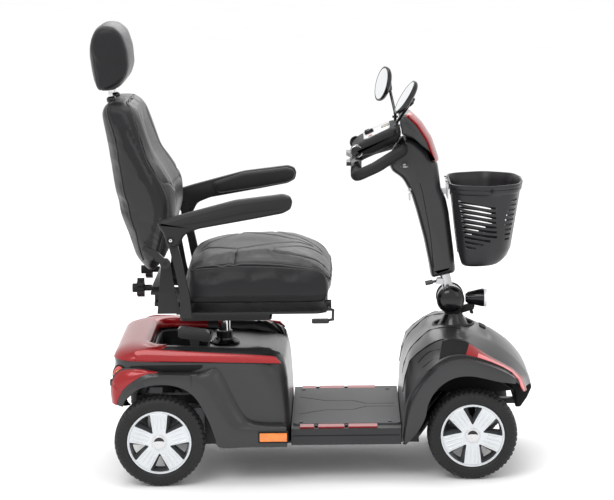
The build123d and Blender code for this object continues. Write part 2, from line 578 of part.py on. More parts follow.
with BuildPart() as seat_swivel_plate:
    with BuildSketch(Plane.XY.offset(450.4)):
        with Locations((-262, 0)):
            RectangleRounded(270, 216, 18)
    extrude(amount=6)
    rod((X_POST, 0, 450.4), (X_POST, 0, 468), 30)
    for s in (-1, 1):
        box(-392, -134, s * 98 - 9, s * 98 + 9, 456, 474)
        box(-385, -352, s * 98 - 12, s * 98 + 12, 456, 470)
    rod((X_POST, 0, 440), (X_POST, 0, 480), 13.08, mode=Mode.SUBTRACT)
export(seat_swivel_plate, "seat_swivel_plate")

with BuildPart() as seat_base_frame:
    # upper slide rails
    for s in (-1, 1):
        box(-400, -100, s * 98 - 12, s * 98 + 12, 474.4, 490)
    # pressed pan under the cushion
    with BuildSketch(Plane.XY.offset(490)):
        with Locations((-176, 0)):
            RectangleRounded(428, 430, 40)
    extrude(amount=7)
    # armrest receiver tube across the back of the pan
    box(-383, -353, -252, 252, 494, 524)
    box(-379.8, -356.2, -260, 260, 497.2, 520.8, mode=Mode.SUBTRACT)
    # rear hoop and accessory cross tube
    box(-470, -380, -120, 120, 498, 510)
    box(-470, -446, -200, 200, 548, 572)
    for s in (-1, 1):
        prism([(-470, 500), (-440, 500), (-446, 572), (-470, 572)], min(s * 92, s * 104), max(s * 92, s * 104))
        # recline side plate
        prism([(-452, 500), (-384, 500), (-398, 560), (-413, 650), (-437, 650), (-446, 572)], min(s * 238, s * 243), max(s * 238, s * 243))
        rod((X_REC, s * 238, Z_REC), (X_REC, s * 243, Z_REC), 13)
        rod((X_REC, s * 226, Z_REC), (X_REC, s * (263 if s < 0 else 250), Z_REC), 6)
        box(-450, -386, min(s * 196, s * 243), max(s * 196, s * 243), 500, 506)
        box(-470, -446, min(s * 196, s * 243), max(s * 196, s * 243), 556, 564)
    box(-400, -353, -210, 210, 490, 500)
    box(-379.8, -356.2, -260, 260, 497.2, 520.8, mode=Mode.SUBTRACT)
    # swivel lever lugs at the front edge
    for y in (-190, -160):
        box(30, 50, y - 4, y + 4, 494, 520)
    box(20, 34, -200, -150, 490, 500)
    rod((41, -200, 508), (41, -150, 508), 4.1, mode=Mode.SUBTRACT)
    # threaded seats for the two hand knobs
    for y in (-150, 150):
        rod((-471, y, 560), (-440, y, 560), 4.1, mode=Mode.SUBTRACT)
export(seat_base_frame, "seat_base_frame")

cushion_side = [(-382, 527), (-378, 640), (-329, 664), (-270, 680), (-210, 690), (-110, 690), (-41, 682), (14, 658), (44, 630), (57, 598), (56, 560), (36, 527)]
with BuildPart() as seat_cushion:
    prism(cushion_side, -222, 222, radius=0)
    prism([(-376, 530), (-372, 612), (-280, 626), (-180, 628), (-80, 618), (10, 600), (48, 590), (44, 556), (28, 530)], -236, 236)
    prism([(-383, 480), (-383, 527), (-352, 527), (-352, 480)], -250, 250, mode=Mode.SUBTRACT)
export(seat_cushion, "seat_cushion")

back_side = [(-486, 612), (-468, 604), (-440, 634), (-420, 700), (-394, 790), (-396, 836), (-420, 883), (-460, 945), (-500, 1068), (-515, 1100), (-540, 1112),
             (-578, 1112), (-598, 1100), (-604, 1080), (-585, 973), (-569, 850), (-553, 772), (-530, 711), (-512, 650)]
HEAD = Vector(-0.174, 0, 0.985)
post_foot = Vector(-566, 0, 990)
with BuildPart() as backrest:
    prism(back_side, -164, 164)
    prism([(-478, 640), (-440, 640), (-420, 710), (-402, 790), (-404, 836), (-430, 885), (-470, 950), (-510, 1040), (-540, 1040), (-532, 850), (-520, 772), (-500, 690)], -224, 224)
    for s in (-1, 1):
        # recline bush at each lower corner
        rod((X_REC, s * 200, Z_REC), (X_REC, s * 236, Z_REC), 14)
        rod((X_REC, s * 198, Z_REC), (X_REC, s * 252, Z_REC), 6.08, mode=Mode.SUBTRACT)
        p = post_foot + Vector(0, s * 58, 0)
        rod(tuple(p), tuple(p + HEAD * 160), 6.1, mode=Mode.SUBTRACT)
export(backrest, "backrest")

with BuildPart() as headrest_posts:
    for s in (-1, 1):
        p = post_foot + Vector(0, s * 58, 0)
        rod(tuple(p + HEAD * 10), tuple(p + HEAD * 152), 6)
export(headrest_posts, "headrest_posts")

with BuildPart() as headrest:
    prism([(-619, 1133), (-632, 1200), (-645, 1262), (-640, 1290), (-625, 1316), (-600, 1330), (-566, 1326), (-540, 1300), (-524, 1250), (-522, 1200), (-532, 1170), (-560, 1148), (-590, 1136)], -122, 122)
    for s in (-1, 1):
        p = post_foot + Vector(0, s * 58, 0) + HEAD * 120
        rod(tuple(p), tuple(p + HEAD * 33), 6.02, mode=Mode.SUBTRACT)
export(headrest, "headrest")

arm_side = [(-441, 780), (-367, 801), (-220, 839), (-83, 855), (-62, 848), (-56, 832), (-61, 812), (-84, 800), (-172, 784), (-324, 758), (-364, 742),
            (-379, 712), (-390, 706), (-413, 707), (-425, 747), (-441, 770)]
for side, s in (("right", -1), ("left", 1)):
    with BuildPart() as bracket:
        a, b = min(s * 268, s * 288), max(s * 268, s * 288)
        prism([(-384, 495), (-350, 495), (-355, 560), (-370, 634), (-388, 716), (-414, 716), (-395, 634), (-382, 560)], a, b)
        rod((X_ARM, s * 268, Z_ARM), (X_ARM, s * 288, Z_ARM), 14)
        box(-379.4, -356.6, min(s * 150, s * 270), max(s * 150, s * 270), 497.6, 520.4)
        rod((X_ARM, s * 286, Z_ARM), (X_ARM, s * 322, Z_ARM), 5)
    export(bracket, f"{side}_armrest_bracket")
    with BuildPart() as armrest:
        prism(arm_side, min(s * 288.5, s * 326), max(s * 288.5, s * 326))
        prism([(-438, 778), (-367, 801), (-220, 839), (-83, 855), (-62, 848), (-56, 832), (-61, 812), (-84, 800), (-172, 784), (-300, 764), (-360, 752), (-430, 752)],
              min(s * 270, s * 289), max(s * 270, s * 289))
        rod((X_ARM, s * 280, Z_ARM), (X_ARM, s * 330, Z_ARM), 5.08, mode=Mode.SUBTRACT)
    export(armrest, f"{side}_armrest")
    with BuildPart() as knob:
        y = s * 150
        rod((-445, y, 560), (-500, y, 560), 4)
        with BuildSketch(Plane(origin=(-474, y, 560), x_dir=(0, 1, 0), z_dir=(-1, 0, 0))):
            Circle(9)
        extrude(amount=22)
        with BuildSketch(Plane(origin=(-496, y, 560), x_dir=(0, 1, 0), z_dir=(-1, 0, 0))):
            Circle(21)
            with PolarLocations(21, 5):
                Circle(8)
        extrude(amount=20)
        with BuildSketch(Plane(origin=(-516, y, 560), x_dir=(0, 1, 0), z_dir=(-1, 0, 0))):
            Circle(13)
        extrude(amount=14)
    export(knob, f"{side}_clamp_knob")

with BuildPart() as swivel_lever:
    rod((41, -220, 508), (41, -140, 508), 4)
    ball((41, -220, 508), 4.3)
    rod((41, -220, 508), (55, -220, 501), 3.9)
    ball((55, -220, 501), 4.3)
    rod((55, -220, 501), (54, -220, 474), 3.9)
    ball((54, -220, 474), 4.3)
    rod((54, -220, 474), (30, -220, 469.5), 3.9)
    with BuildSketch(Plane.XY.offset(464)):
        with Locations((18, -220)):
            RectangleRounded(50, 22, 9)
    extrude(amount=11)
export(swivel_lever, "swivel_lever")

with BuildPart() as recline_lever:
    rod((X_REC, -252, Z_REC), (X_REC, -262, Z_REC), 15)
    prism([(-430, 640), (-425, 664), (-452, 690), (-486, 702), (-490, 692), (-458, 668)], -261, -253)
    rod((X_REC, -244, Z_REC), (X_REC, -262, Z_REC), 6.08, mode=Mode.SUBTRACT)
export(recline_lever, "recline_lever")
print("done")
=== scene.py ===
import math
import random

import bmesh
import bpy
import numpy as np
from mathutils import Matrix, Vector


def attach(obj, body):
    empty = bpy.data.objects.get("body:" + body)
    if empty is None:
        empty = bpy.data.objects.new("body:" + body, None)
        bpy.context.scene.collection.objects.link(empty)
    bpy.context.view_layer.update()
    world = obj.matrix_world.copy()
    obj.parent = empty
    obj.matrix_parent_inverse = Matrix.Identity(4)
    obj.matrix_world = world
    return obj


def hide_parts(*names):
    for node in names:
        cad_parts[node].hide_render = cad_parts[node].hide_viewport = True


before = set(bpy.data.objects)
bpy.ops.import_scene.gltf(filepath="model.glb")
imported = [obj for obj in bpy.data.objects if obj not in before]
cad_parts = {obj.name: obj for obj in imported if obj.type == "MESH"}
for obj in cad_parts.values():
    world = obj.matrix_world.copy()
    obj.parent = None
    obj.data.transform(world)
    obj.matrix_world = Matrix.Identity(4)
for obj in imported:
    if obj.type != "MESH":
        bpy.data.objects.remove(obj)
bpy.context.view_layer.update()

scene = bpy.context.scene

# ------------------------------------------------------------------ camera
cam_data = bpy.data.cameras.new("camera")
cam = bpy.data.objects.new("camera", cam_data)
scene.collection.objects.link(cam)
cam_data.sensor_width = 36.0
cam_data.lens = 36.0 * 2317.0 / 614.0
cam_data.shift_x = -38.4 / 614.0
cam_data.clip_end = 100
tilt, roll = math.radians(9.9), math.radians(0.6)
fwd = Vector((0, math.cos(tilt), -math.sin(tilt)))
right0 = Vector((1, 0, 0))
up0 = right0.cross(fwd)
right = right0 * math.cos(roll) - up0 * math.sin(roll)
up = up0 * math.cos(roll) + right0 * math.sin(roll)
m = Matrix((right, up, -fwd)).transposed().to_4x4()
m.translation = Vector((0.0925, -6.8, 1.826))
cam.matrix_world = m
scene.camera = cam


# ------------------------------------------------------------------ materials
def surf(name, color, rough=0.4, metal=0.0, coat=0.0, coat_rough=0.05, bump=0.08, grain=1400.0, dist=0.0004, vary=0.06,
         vary_scale=9.0, rough_vary=0.06, spec=0.5, dark=0.8, sheen=0.0, wear=0.0, voronoi=False):
    """Procedural moulded, painted or metal surface: fine grain in the bump, slow variation in the colour and the roughness."""
    mat = bpy.data.materials.new(name)
    mat.use_nodes = True
    nt = mat.node_tree
    n, l = nt.nodes, nt.links
    b = n["Principled BSDF"]
    b.inputs["Metallic"].default_value = metal
    b.inputs["Coat Weight"].default_value = coat
    b.inputs["Coat Roughness"].default_value = coat_rough
    b.inputs["Specular IOR Level"].default_value = spec
    b.inputs["Sheen Weight"].default_value = sheen
    tc = n.new("ShaderNodeTexCoord")
    slow = n.new("ShaderNodeTexNoise")
    slow.inputs["Scale"].default_value = vary_scale
    slow.inputs["Detail"].default_value = 5
    l.new(tc.outputs["Object"], slow.inputs["Vector"])
    mix = n.new("ShaderNodeMix")
    mix.data_type = "RGBA"
    c = list(color)[:3]
    mix.inputs["A"].default_value = (*[v * (1 - vary) * (dark if vary > 0.2 else 1) for v in c], 1)
    mix.inputs["B"].default_value = (*[min(1, v * (1 + vary)) for v in c], 1)
    ramp = n.new("ShaderNodeMapRange")
    ramp.inputs["From Min"].default_value = 0.35
    ramp.inputs["From Max"].default_value = 0.65
    l.new(slow.outputs["Fac"], ramp.inputs["Value"])
    l.new(ramp.outputs["Result"], mix.inputs["Factor"])
    out = mix.outputs["Result"]
    if wear:
        geo = n.new("ShaderNodeNewGeometry")
        pr = n.new("ShaderNodeMapRange")
        pr.inputs["From Min"].default_value = 0.52
        pr.inputs["From Max"].default_value = 0.62
        pr.inputs["To Max"].default_value = wear
        l.new(geo.outputs["Pointiness"], pr.inputs["Value"])
        wm = n.new("ShaderNodeMix")
        wm.data_type = "RGBA"
        wm.inputs["B"].default_value = (*[min(1, v * 2.4 + 0.05) for v in c], 1)
        l.new(pr.outputs["Result"], wm.inputs["Factor"])
        l.new(out, wm.inputs["A"])
        out = wm.outputs["Result"]
    l.new(out, b.inputs["Base Color"])
    rr = n.new("ShaderNodeMapRange")
    rr.inputs["To Min"].default_value = max(0.02, rough - rough_vary)
    rr.inputs["To Max"].default_value = min(1, rough + rough_vary)
    l.new(slow.outputs["Fac"], rr.inputs["Value"])
    l.new(rr.outputs["Result"], b.inputs["Roughness"])
    if bump:
        if voronoi:
            fine = n.new("ShaderNodeTexVoronoi")
            fine.feature = "SMOOTH_F1"
            fine.inputs["Scale"].default_value = grain
            h = fine.outputs["Distance"]
        else:
            fine = n.new("ShaderNodeTexNoise")
            fine.inputs["Scale"].default_value = grain
            fine.inputs["Detail"].default_value = 2
            h = fine.outputs["Fac"]
        l.new(tc.outputs["Object"], fine.inputs["Vector"])
        bp = n.new("ShaderNodeBump")
        bp.inputs["Strength"].default_value = bump
        bp.inputs["Distance"].default_value = dist
        l.new(h, bp.inputs["Height"])
        l.new(bp.outputs["Normal"], b.inputs["Normal"])
    return mat


def flake(name, color, dark):
    """Metallic red under clear coat, with fine flake and a slow shade change."""
    mat = surf(name, color, rough=0.32, metal=0.25, coat=0.55, coat_rough=0.04, bump=0.0, vary=0.1, vary_scale=5, rough_vary=0.03, spec=0.3)
    n, l = mat.node_tree.nodes, mat.node_tree.links
    b = n["Principled BSDF"]
    tc = n["Texture Coordinate"]
    vor = n.new("ShaderNodeTexVoronoi")
    vor.inputs["Scale"].default_value = 1500
    l.new(tc.outputs["Object"], vor.inputs["Vector"])
    old = b.inputs["Base Color"].links[0].from_socket
    mx = n.new("ShaderNodeMix")
    mx.data_type = "RGBA"
    mx.inputs["B"].default_value = (*dark, 1)
    mr = n.new("ShaderNodeMapRange")
    mr.inputs["From Min"].default_value = 0.25
    mr.inputs["From Max"].default_value = 0.9
    mr.inputs["To Max"].default_value = 0.55
    l.new(vor.outputs["Distance"], mr.inputs["Value"])
    l.new(mr.outputs["Result"], mx.inputs["Factor"])
    l.new(old, mx.inputs["A"])
    l.new(mx.outputs["Result"], b.inputs["Base Color"])
    return mat


def vinyl(name, color, rough=0.42, spec=0.42):
    """Grained vinyl: pebbled cells with fine creases between them, and a soft variation over the panel."""
    mat = surf(name, color, rough=rough, bump=0.0, vary=0.08, vary_scale=14, rough_vary=0.07, sheen=0.03, spec=spec)
    n, l = mat.node_tree.nodes, mat.node_tree.links
    b = n["Principled BSDF"]
    tc = n["Texture Coordinate"]
    cells = n.new("ShaderNodeTexVoronoi")
    cells.feature = "DISTANCE_TO_EDGE"
    cells.inputs["Scale"].default_value = 520
    warp = n.new("ShaderNodeTexNoise")
    warp.inputs["Scale"].default_value = 210
    mixv = n.new("ShaderNodeMix")
    mixv.data_type = "VECTOR"
    mixv.inputs["Factor"].default_value = 0.012
    l.new(tc.outputs["Object"], warp.inputs["Vector"])
    l.new(tc.outputs["Object"], mixv.inputs["A"])
    l.new(warp.outputs["Color"], mixv.inputs["B"])
    l.new(mixv.outputs["Result"], cells.inputs["Vector"])
    mr = n.new("ShaderNodeMapRange")
    mr.inputs["From Max"].default_value = 0.28
    l.new(cells.outputs["Distance"], mr.inputs["Value"])
    big = n.new("ShaderNodeTexNoise")
    big.inputs["Scale"].default_value = 38
    big.inputs["Detail"].default_value = 4
    l.new(tc.outputs["Object"], big.inputs["Vector"])
    add = n.new("ShaderNodeMath")
    add.operation = "MULTIPLY_ADD"
    add.inputs[1].default_value = 2.0
    l.new(big.outputs["Fac"], add.inputs[0])
    l.new(mr.outputs["Result"], add.inputs[2])
    bp = n.new("ShaderNodeBump")
    bp.inputs["Strength"].default_value = 0.22
    bp.inputs["Distance"].default_value = 0.0006
    l.new(add.outputs["Value"], bp.inputs["Height"])
    l.new(bp.outputs["Normal"], b.inputs["Normal"])
    return mat


M = {
    "charcoal": surf("charcoal", (0.020, 0.0202, 0.0215), rough=0.32, coat=0.2, coat_rough=0.22, bump=0.10, grain=2600, vary=0.07, spec=0.4),
    "charcoal_matt": surf("charcoal_matt", (0.022, 0.0225, 0.024), rough=0.5, bump=0.16, grain=2200, vary=0.08, spec=0.35),
    "guard": surf("guard", (0.007, 0.007, 0.0075), rough=0.6, bump=0.2, grain=1500, vary=0.12, spec=0.2),
    "gloss_black": surf("gloss_black", (0.004, 0.004, 0.005), rough=0.2, coat=0.3, coat_rough=0.05, bump=0.02, grain=600, vary=0.05, rough_vary=0.04, spec=0.3),
    "matt_black": surf("matt_black", (0.007, 0.0072, 0.008), rough=0.46, bump=0.14, grain=1800, vary=0.1, spec=0.22),
    "red": flake("red_metallic", (0.33, 0.003, 0.006), (0.13, 0.001, 0.002)),
    "red_lens": surf("red_lens", (0.55, 0.012, 0.01), rough=0.08, coat=1.0, bump=0.3, grain=260, dist=0.0008, vary=0.12, vary_scale=60, voronoi=True),
    "orange_lens": surf("orange_lens", (0.95, 0.30, 0.03), rough=0.10, coat=1.0, bump=0.35, grain=300, dist=0.0008, vary=0.12, vary_scale=70, voronoi=True),
    "amber": surf("amber", (0.80, 0.20, 0.015), rough=0.16, coat=0.9, bump=0.5, grain=420, dist=0.0007, vary=0.12, vary_scale=50, voronoi=True),
    "pink": surf("pink_reflector", (0.72, 0.16, 0.17), rough=0.22, coat=0.8, bump=0.4, grain=380, dist=0.0005, vary=0.1, vary_scale=40, voronoi=True),
    "tyre": surf("tyre_rubber", (0.011, 0.011, 0.0115), rough=0.58, bump=0.25, grain=900, vary=0.16, vary_scale=24, wear=0.25, spec=0.3),
    "silver": surf("silver_paint", (0.60, 0.62, 0.64), rough=0.27, metal=0.45, coat=0.5, coat_rough=0.12, bump=0.05, grain=2400, vary=0.04),
    "silver_cap": surf("silver_cap", (0.60, 0.59, 0.60), rough=0.26, metal=0.2, coat=0.6, coat_rough=0.08, bump=0.03, grain=2000, vary=0.03),
    "rim_dark": surf("rim_dark", (0.09, 0.094, 0.10), rough=0.42, metal=0.3, bump=0.1, grain=900, vary=0.14, vary_scale=30),
    "chrome": surf("chrome", (0.72, 0.72, 0.73), rough=0.09, metal=1.0, bump=0.02, grain=300, vary=0.03, rough_vary=0.03),
    "steel": surf("brushed_steel", (0.52, 0.52, 0.53), rough=0.28, metal=1.0, bump=0.1, grain=1600, vary=0.05, rough_vary=0.08),
    "frame": surf("frame_paint", (0.006, 0.006, 0.0065), rough=0.36, coat=0.12, coat_rough=0.2, bump=0.14, grain=900, vary=0.12, wear=0.08, spec=0.28),
    "alloy": surf("cast_alloy", (0.30, 0.30, 0.31), rough=0.46, metal=0.9, bump=0.4, grain=700, vary=0.12),
    "battery": surf("battery_case", (0.05, 0.05, 0.055), rough=0.5, bump=0.15, grain=1500, vary=0.1),
    "mat": surf("mat_rubber", (0.060, 0.061, 0.064), rough=0.6, bump=0.4, grain=1300, dist=0.0006, vary=0.09, vary_scale=16, wear=0.1, voronoi=True),
    "grip": surf("grip_rubber", (0.009, 0.009, 0.0095), rough=0.5, bump=0.35, grain=800, vary=0.12, voronoi=True, spec=0.28),
    "basket": surf("basket_plastic", (0.012, 0.012, 0.0138), rough=0.38, bump=0.2, grain=1600, vary=0.09, wear=0.06, spec=0.38),
    "lever_grey": surf("lever_grey", (0.05, 0.05, 0.053), rough=0.4, coat=0.2, coat_rough=0.2, bump=0.1, grain=1800, vary=0.06),
    "vinyl_side": vinyl("vinyl_side", (0.007, 0.007, 0.0082), rough=0.36, spec=0.28),
    # paler copy of the seat vinyl for the sewn face panels: the paler colour is a painted highlight on the top and
    # front faces
    "vinyl_face_painted_highlight": vinyl("vinyl_face_painted_highlight", (0.017, 0.017, 0.0175), rough=0.36),
    "vinyl_dark": vinyl("vinyl_dark", (0.008, 0.008, 0.0085), rough=0.36),
    "piping": surf("piping", (0.03, 0.03, 0.031), rough=0.4, bump=0.2, grain=1200, vary=0.1),
    "thread": surf("thread", (0.12, 0.12, 0.125), rough=0.7, bump=0.3, grain=2500, vary=0.12),
    "pu": surf("armrest_pu", (0.010, 0.010, 0.0105), rough=0.48, bump=0.35, grain=900, dist=0.0005, vary=0.1, voronoi=True, spec=0.3),
    "dash_silver": surf("dash_silver", (0.50, 0.51, 0.52), rough=0.3, metal=0.25, coat=0.4, coat_rough=0.15, bump=0.05, grain=2500, vary=0.04),
    "dash_grey": surf("dash_grey", (0.028, 0.0285, 0.030), rough=0.36, coat=0.15, coat_rough=0.2, bump=0.08, grain=2500, vary=0.06, spec=0.35),
    "button_red": surf("button_red", (0.45, 0.06, 0.05), rough=0.22, coat=0.8, bump=0.05, grain=700, vary=0.08),
    "screw": surf("screw_black", (0.012, 0.012, 0.012), rough=0.3, metal=0.6, bump=0.1, grain=900, vary=0.1),
    "lens": surf("lamp_lens", (0.84, 0.86, 0.88), rough=0.08, coat=1.0, bump=0.4, grain=240, dist=0.0008, vary=0.06, vary_scale=60, voronoi=True),
    "mirror": surf("mirror_glass", (0.86, 0.88, 0.90), rough=0.03, metal=1.0, bump=0.01, grain=60, vary=0.02, vary_scale=20, rough_vary=0.01),
    "yellow_dot": surf("level_mark", (0.35, 0.31, 0.16), rough=0.4, bump=0.1, grain=900, vary=0.1),
}


# ------------------------------------------------------------------ mesh helpers (millimetres in, metres out)
def make(name, verts, faces, mat, body=None, rep=(), slot=None, smooth=38, mats=None, index=None, loc=None):
    me = bpy.data.meshes.new(name)
    me.from_pydata([tuple(c * 0.001 for c in v) for v in verts], [], faces)
    o = bpy.data.objects.new(name, me)
    scene.collection.objects.link(o)
    for one in (mats or [mat]):
        me.materials.append(M[one])
    if index is not None:
        for p, i in zip(me.polygons, index):
            p.material_index = i
    tidy(o, smooth)
    if loc is not None:
        o.location = Vector(loc) * 0.001
    if body:
        place(o, body, rep, slot)
    return o


def tidy(o, smooth=38, weld=1e-6):
    me = o.data
    bm = bmesh.new()
    bm.from_mesh(me)
    bmesh.ops.remove_doubles(bm, verts=bm.verts, dist=weld)
    bmesh.ops.dissolve_degenerate(bm, edges=bm.edges, dist=1e-7)
    loose = [v for v in bm.verts if not v.link_faces]
    bmesh.ops.delete(bm, geom=loose, context="VERTS")
    bmesh.ops.recalc_face_normals(bm, faces=bm.faces)
    bm.to_mesh(me)
    bm.free()
    shade(o, smooth)


def shade(o, smooth=38):
    me = o.data
    me.polygons.foreach_set("use_smooth", [True] * len(me.polygons))
    me.set_sharp_from_angle(angle=math.radians(smooth))
    me.update()


def place(o, body, rep=(), slot=None):
    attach(o, body)
    if rep:
        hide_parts(*([rep] if isinstance(rep, str) else rep))
    return o


def apply_mods(o, smooth=None):
    bpy.context.view_layer.update()
    dg = bpy.context.evaluated_depsgraph_get()
    me = bpy.data.meshes.new_from_object(o.evaluated_get(dg), depsgraph=dg)
    o.modifiers.clear()
    o.data = me
    if smooth is not None:
        shade(o, smooth)
    return o


def bevel(o, width, seg=2, angle=35, smooth=40):
    b = o.modifiers.new("bevel", "BEVEL")
    b.width = width * 0.001
    b.segments = seg
    b.limit_method = "ANGLE"
    b.angle_limit = math.radians(angle)
    b.harden_normals = False
    return apply_mods(o, smooth)


def subsurf(o, n=2, smooth=60):
    s = o.modifiers.new("sub", "SUBSURF")
    s.levels = s.render_levels = n
    return apply_mods(o, smooth)


def solid(o, t, offset=-1, smooth=38, rim=True):
    s = o.modifiers.new("solid", "SOLIDIFY")
    s.thickness = t * 0.001
    s.offset = offset
    s.use_rim = rim
    s.use_even_offset = True
    return apply_mods(o, smooth)


def cut(o, tool, smooth=38, op="DIFFERENCE"):
    b = o.modifiers.new("cut", "BOOLEAN")
    b.operation = op
    b.object = tool
    b.solver = "EXACT"
    apply_mods(o, smooth)
    bpy.data.objects.remove(tool, do_unlink=True)
    return o


def crease(o, test, value=1.0):
    """Marks edges for the subdivision to keep sharp where test(a, b) is true, a and b being its ends in mm."""
    me = o.data
    at = me.attributes.get("crease_edge") or me.attributes.new("crease_edge", "FLOAT", "EDGE")
    for e in me.edges:
        a = me.vertices[e.vertices[0]].co * 1000
        b = me.vertices[e.vertices[1]].co * 1000
        if test(a, b):
            at.data[e.index].value = value


def ring_faces(n, m, closed_u=False, closed_v=True, base=0):
    """Quads between m-long rings, n of them."""
    f = []
    for i in range(n if closed_u else n - 1):
        for j in range(m if closed_v else m - 1):
            a, b = i, (i + 1) % n
            c, d = j, (j + 1) % m
            f.append((base + a * m + c, base + a * m + d, base + b * m + d, base + b * m + c))
    return f


def loft(rings, closed=True, caps=(True, True), loop=False):
    n, k = len(rings), len(rings[0])
    v = [p for r in rings for p in r]
    f = ring_faces(n, k, closed_u=loop, closed_v=closed)
    if closed and not loop:
        if caps[0]:
            f.append(tuple(range(k))[::-1])
        if caps[1]:
            f.append(tuple((n - 1) * k + i for i in range(k)))
    return v, f


def lathe(profile, seg=96, closed=True, axis="Y", at=(0, 0, 0)):
    """profile [(radius, along)] turned about an axis through at."""
    v = []
    for i in range(seg):
        a = 2 * math.pi * i / seg
        for r, t in profile:
            if axis == "Y":
                p = (r * math.cos(a), t, r * math.sin(a))
            elif axis == "Z":
                p = (r * math.cos(a), r * math.sin(a), t)
            else:
                p = (t, r * math.cos(a), r * math.sin(a))
            v.append((p[0] + at[0], p[1] + at[1], p[2] + at[2]))
    return v, ring_faces(seg, len(profile), closed_u=True, closed_v=closed)


def frames(points):
    """Parallel-transport frames along a list of points."""
    p = [Vector(q) for q in points]
    tang = []
    for i in range(len(p)):
        a = p[max(0, i - 1)]
        b = p[min(len(p) - 1, i + 1)]
        tang.append((b - a).normalized())
    ref = Vector((0, 0, 1)) if abs(tang[0].z) < 0.9 else Vector((1, 0, 0))
    u = (ref - tang[0] * ref.dot(tang[0])).normalized()
    out = []
    for t in tang:
        u = (u - t * u.dot(t)).normalized()
        out.append((u.copy(), t.cross(u)))
    return p, tang, out


def tube(points, r, seg=16, caps=True, closed=False, squash=(1, 1)):
    if closed:
        pts = [Vector(q) for q in points]
        n = len(pts)
        tang = [(pts[(i + 1) % n] - pts[i - 1]).normalized() for i in range(n)]
        u = Vector((0, 1, 0)).cross(tang[0]).normalized()
        rings = []
        us = []
        for t in tang:
            u = (u - t * u.dot(t)).normalized()
            us.append(u.copy())
        back = us[-1]
        for i, t in enumerate(tang):
            w = t.cross(us[i])
            rr = r(i / n) if callable(r) else r
            rings.append([tuple(pts[i] + us[i] * (rr * math.cos(2 * math.pi * j / seg)) + w * (rr * math.sin(2 * math.pi * j / seg))) for j in range(seg)])
        # the frame returns turned by some angle: match the last ring to the first by the nearest point
        first, last = rings[0], rings[-1]
        shift = min(range(seg), key=lambda s: sum((Vector(first[(j + s) % seg]) - Vector(last[j])).length for j in range(seg)))
        v = [p for r_ in rings for p in r_]
        f = ring_faces(n, seg)
        for j in range(seg):
            a, b = (n - 1) * seg + j, (n - 1) * seg + (j + 1) % seg
            f.append((a, b, (j + 1 + shift) % seg, (j + shift) % seg))
        return v, f
    p, tang, fr = frames(points)
    rings = []
    for i, (q, (u, w)) in enumerate(zip(p, fr)):
        rr = r[i] if isinstance(r, (list, tuple)) else r
        rings.append([tuple(q + u * (rr * squash[0] * math.cos(2 * math.pi * j / seg)) + w * (rr * squash[1] * math.sin(2 * math.pi * j / seg))) for j in range(seg)])
    return loft(rings, caps=(caps, caps))


def smooth_line(points, n=8, closed=False):
    """Catmull-Rom line through points, n steps to each span."""
    p = [Vector(q) for q in points]
    out = []
    count = len(p) if closed else len(p) - 1
    for i in range(count):
        if closed:
            a, b, c, d = p[i - 1], p[i], p[(i + 1) % len(p)], p[(i + 2) % len(p)]
        else:
            b, c = p[i], p[i + 1]
            a = p[i - 1] if i else b - (c - b)
            d = p[i + 2] if i + 2 < len(p) else c + (c - b)
        for k in range(n):
            t = k / n
            out.append(0.5 * ((2 * b) + (c - a) * t + (2 * a - 5 * b + 4 * c - d) * t * t + (3 * b - a - 3 * c + d) * t ** 3))
    if not closed:
        out.append(p[-1])
    return [tuple(q) for q in out]


def prism(outline, y0, y1):
    """(x, z) outline between two y planes."""
    n = len(outline)
    v = [(x, y0, z) for x, z in outline] + [(x, y1, z) for x, z in outline]
    f = [tuple(range(n)), tuple(range(2 * n - 1, n - 1, -1))]
    f += [(i, (i + 1) % n, n + (i + 1) % n, n + i) for i in range(n)]
    return v, f


def block(x0, x1, y0, y1, z0, z1):
    return prism([(x0, z0), (x1, z0), (x1, z1), (x0, z1)], y0, y1)


def extrude_xy(outline, z0, z1):
    n = len(outline)
    v = [(x, y, z0) for x, y in outline] + [(x, y, z1) for x, y in outline]
    f = [tuple(range(n)), tuple(range(2 * n - 1, n - 1, -1))]
    f += [(i, (i + 1) % n, n + (i + 1) % n, n + i) for i in range(n)]
    return v, f


def cat(*parts):
    """Joins (verts, faces) pairs."""
    v, f = [], []
    for pv, pf in parts:
        b = len(v)
        v += list(pv)
        f += [tuple(b + i for i in q) for q in pf]
    return v, f


def xf(part, mat):
    """Moves a (verts, faces) pair by a 4x4 given in mm."""
    return [tuple(mat @ Vector(v)) for v in part[0]], part[1]


def flip_y(part):
    return [(x, -y, z) for x, y, z in part[0]], [tuple(reversed(q)) for q in part[1]]


def round_outline(pts, r, n=5):
    """Rounds the corners of a closed 2-D outline with arcs; r is one radius or a list."""
    out = []
    k = len(pts)
    for i in range(k):
        a, b, c = Vector(pts[i - 1]), Vector(pts[i]), Vector(pts[(i + 1) % k])
        rr = r[i] if isinstance(r, (list, tuple)) else r
        d1, d2 = (a - b), (c - b)
        l1, l2 = d1.length, d2.length
        if rr <= 0 or l1 < 1e-6 or l2 < 1e-6:
            out.append(tuple(b))
            continue
        d1, d2 = d1 / l1, d2 / l2
        ang = math.acos(max(-1, min(1, d1.dot(d2))))
        if ang > math.pi - 0.05:
            out.append(tuple(b))
            continue
        t = min(rr / math.tan(ang / 2), l1 * 0.48, l2 * 0.48)
        rad = t * math.tan(ang / 2)
        cen = b + (d1 + d2).normalized() * (rad / math.sin(ang / 2))
        p, q = b + d1 * t, b + d2 * t
        a0 = math.atan2(p.y - cen.y, p.x - cen.x)
        a1 = math.atan2(q.y - cen.y, q.x - cen.x)
        da = (a1 - a0 + math.pi) % (2 * math.pi) - math.pi
        for j in range(n + 1):
            aa = a0 + da * j / n
            out.append((cen.x + rad * math.cos(aa), cen.y + rad * math.sin(aa)))
    return out


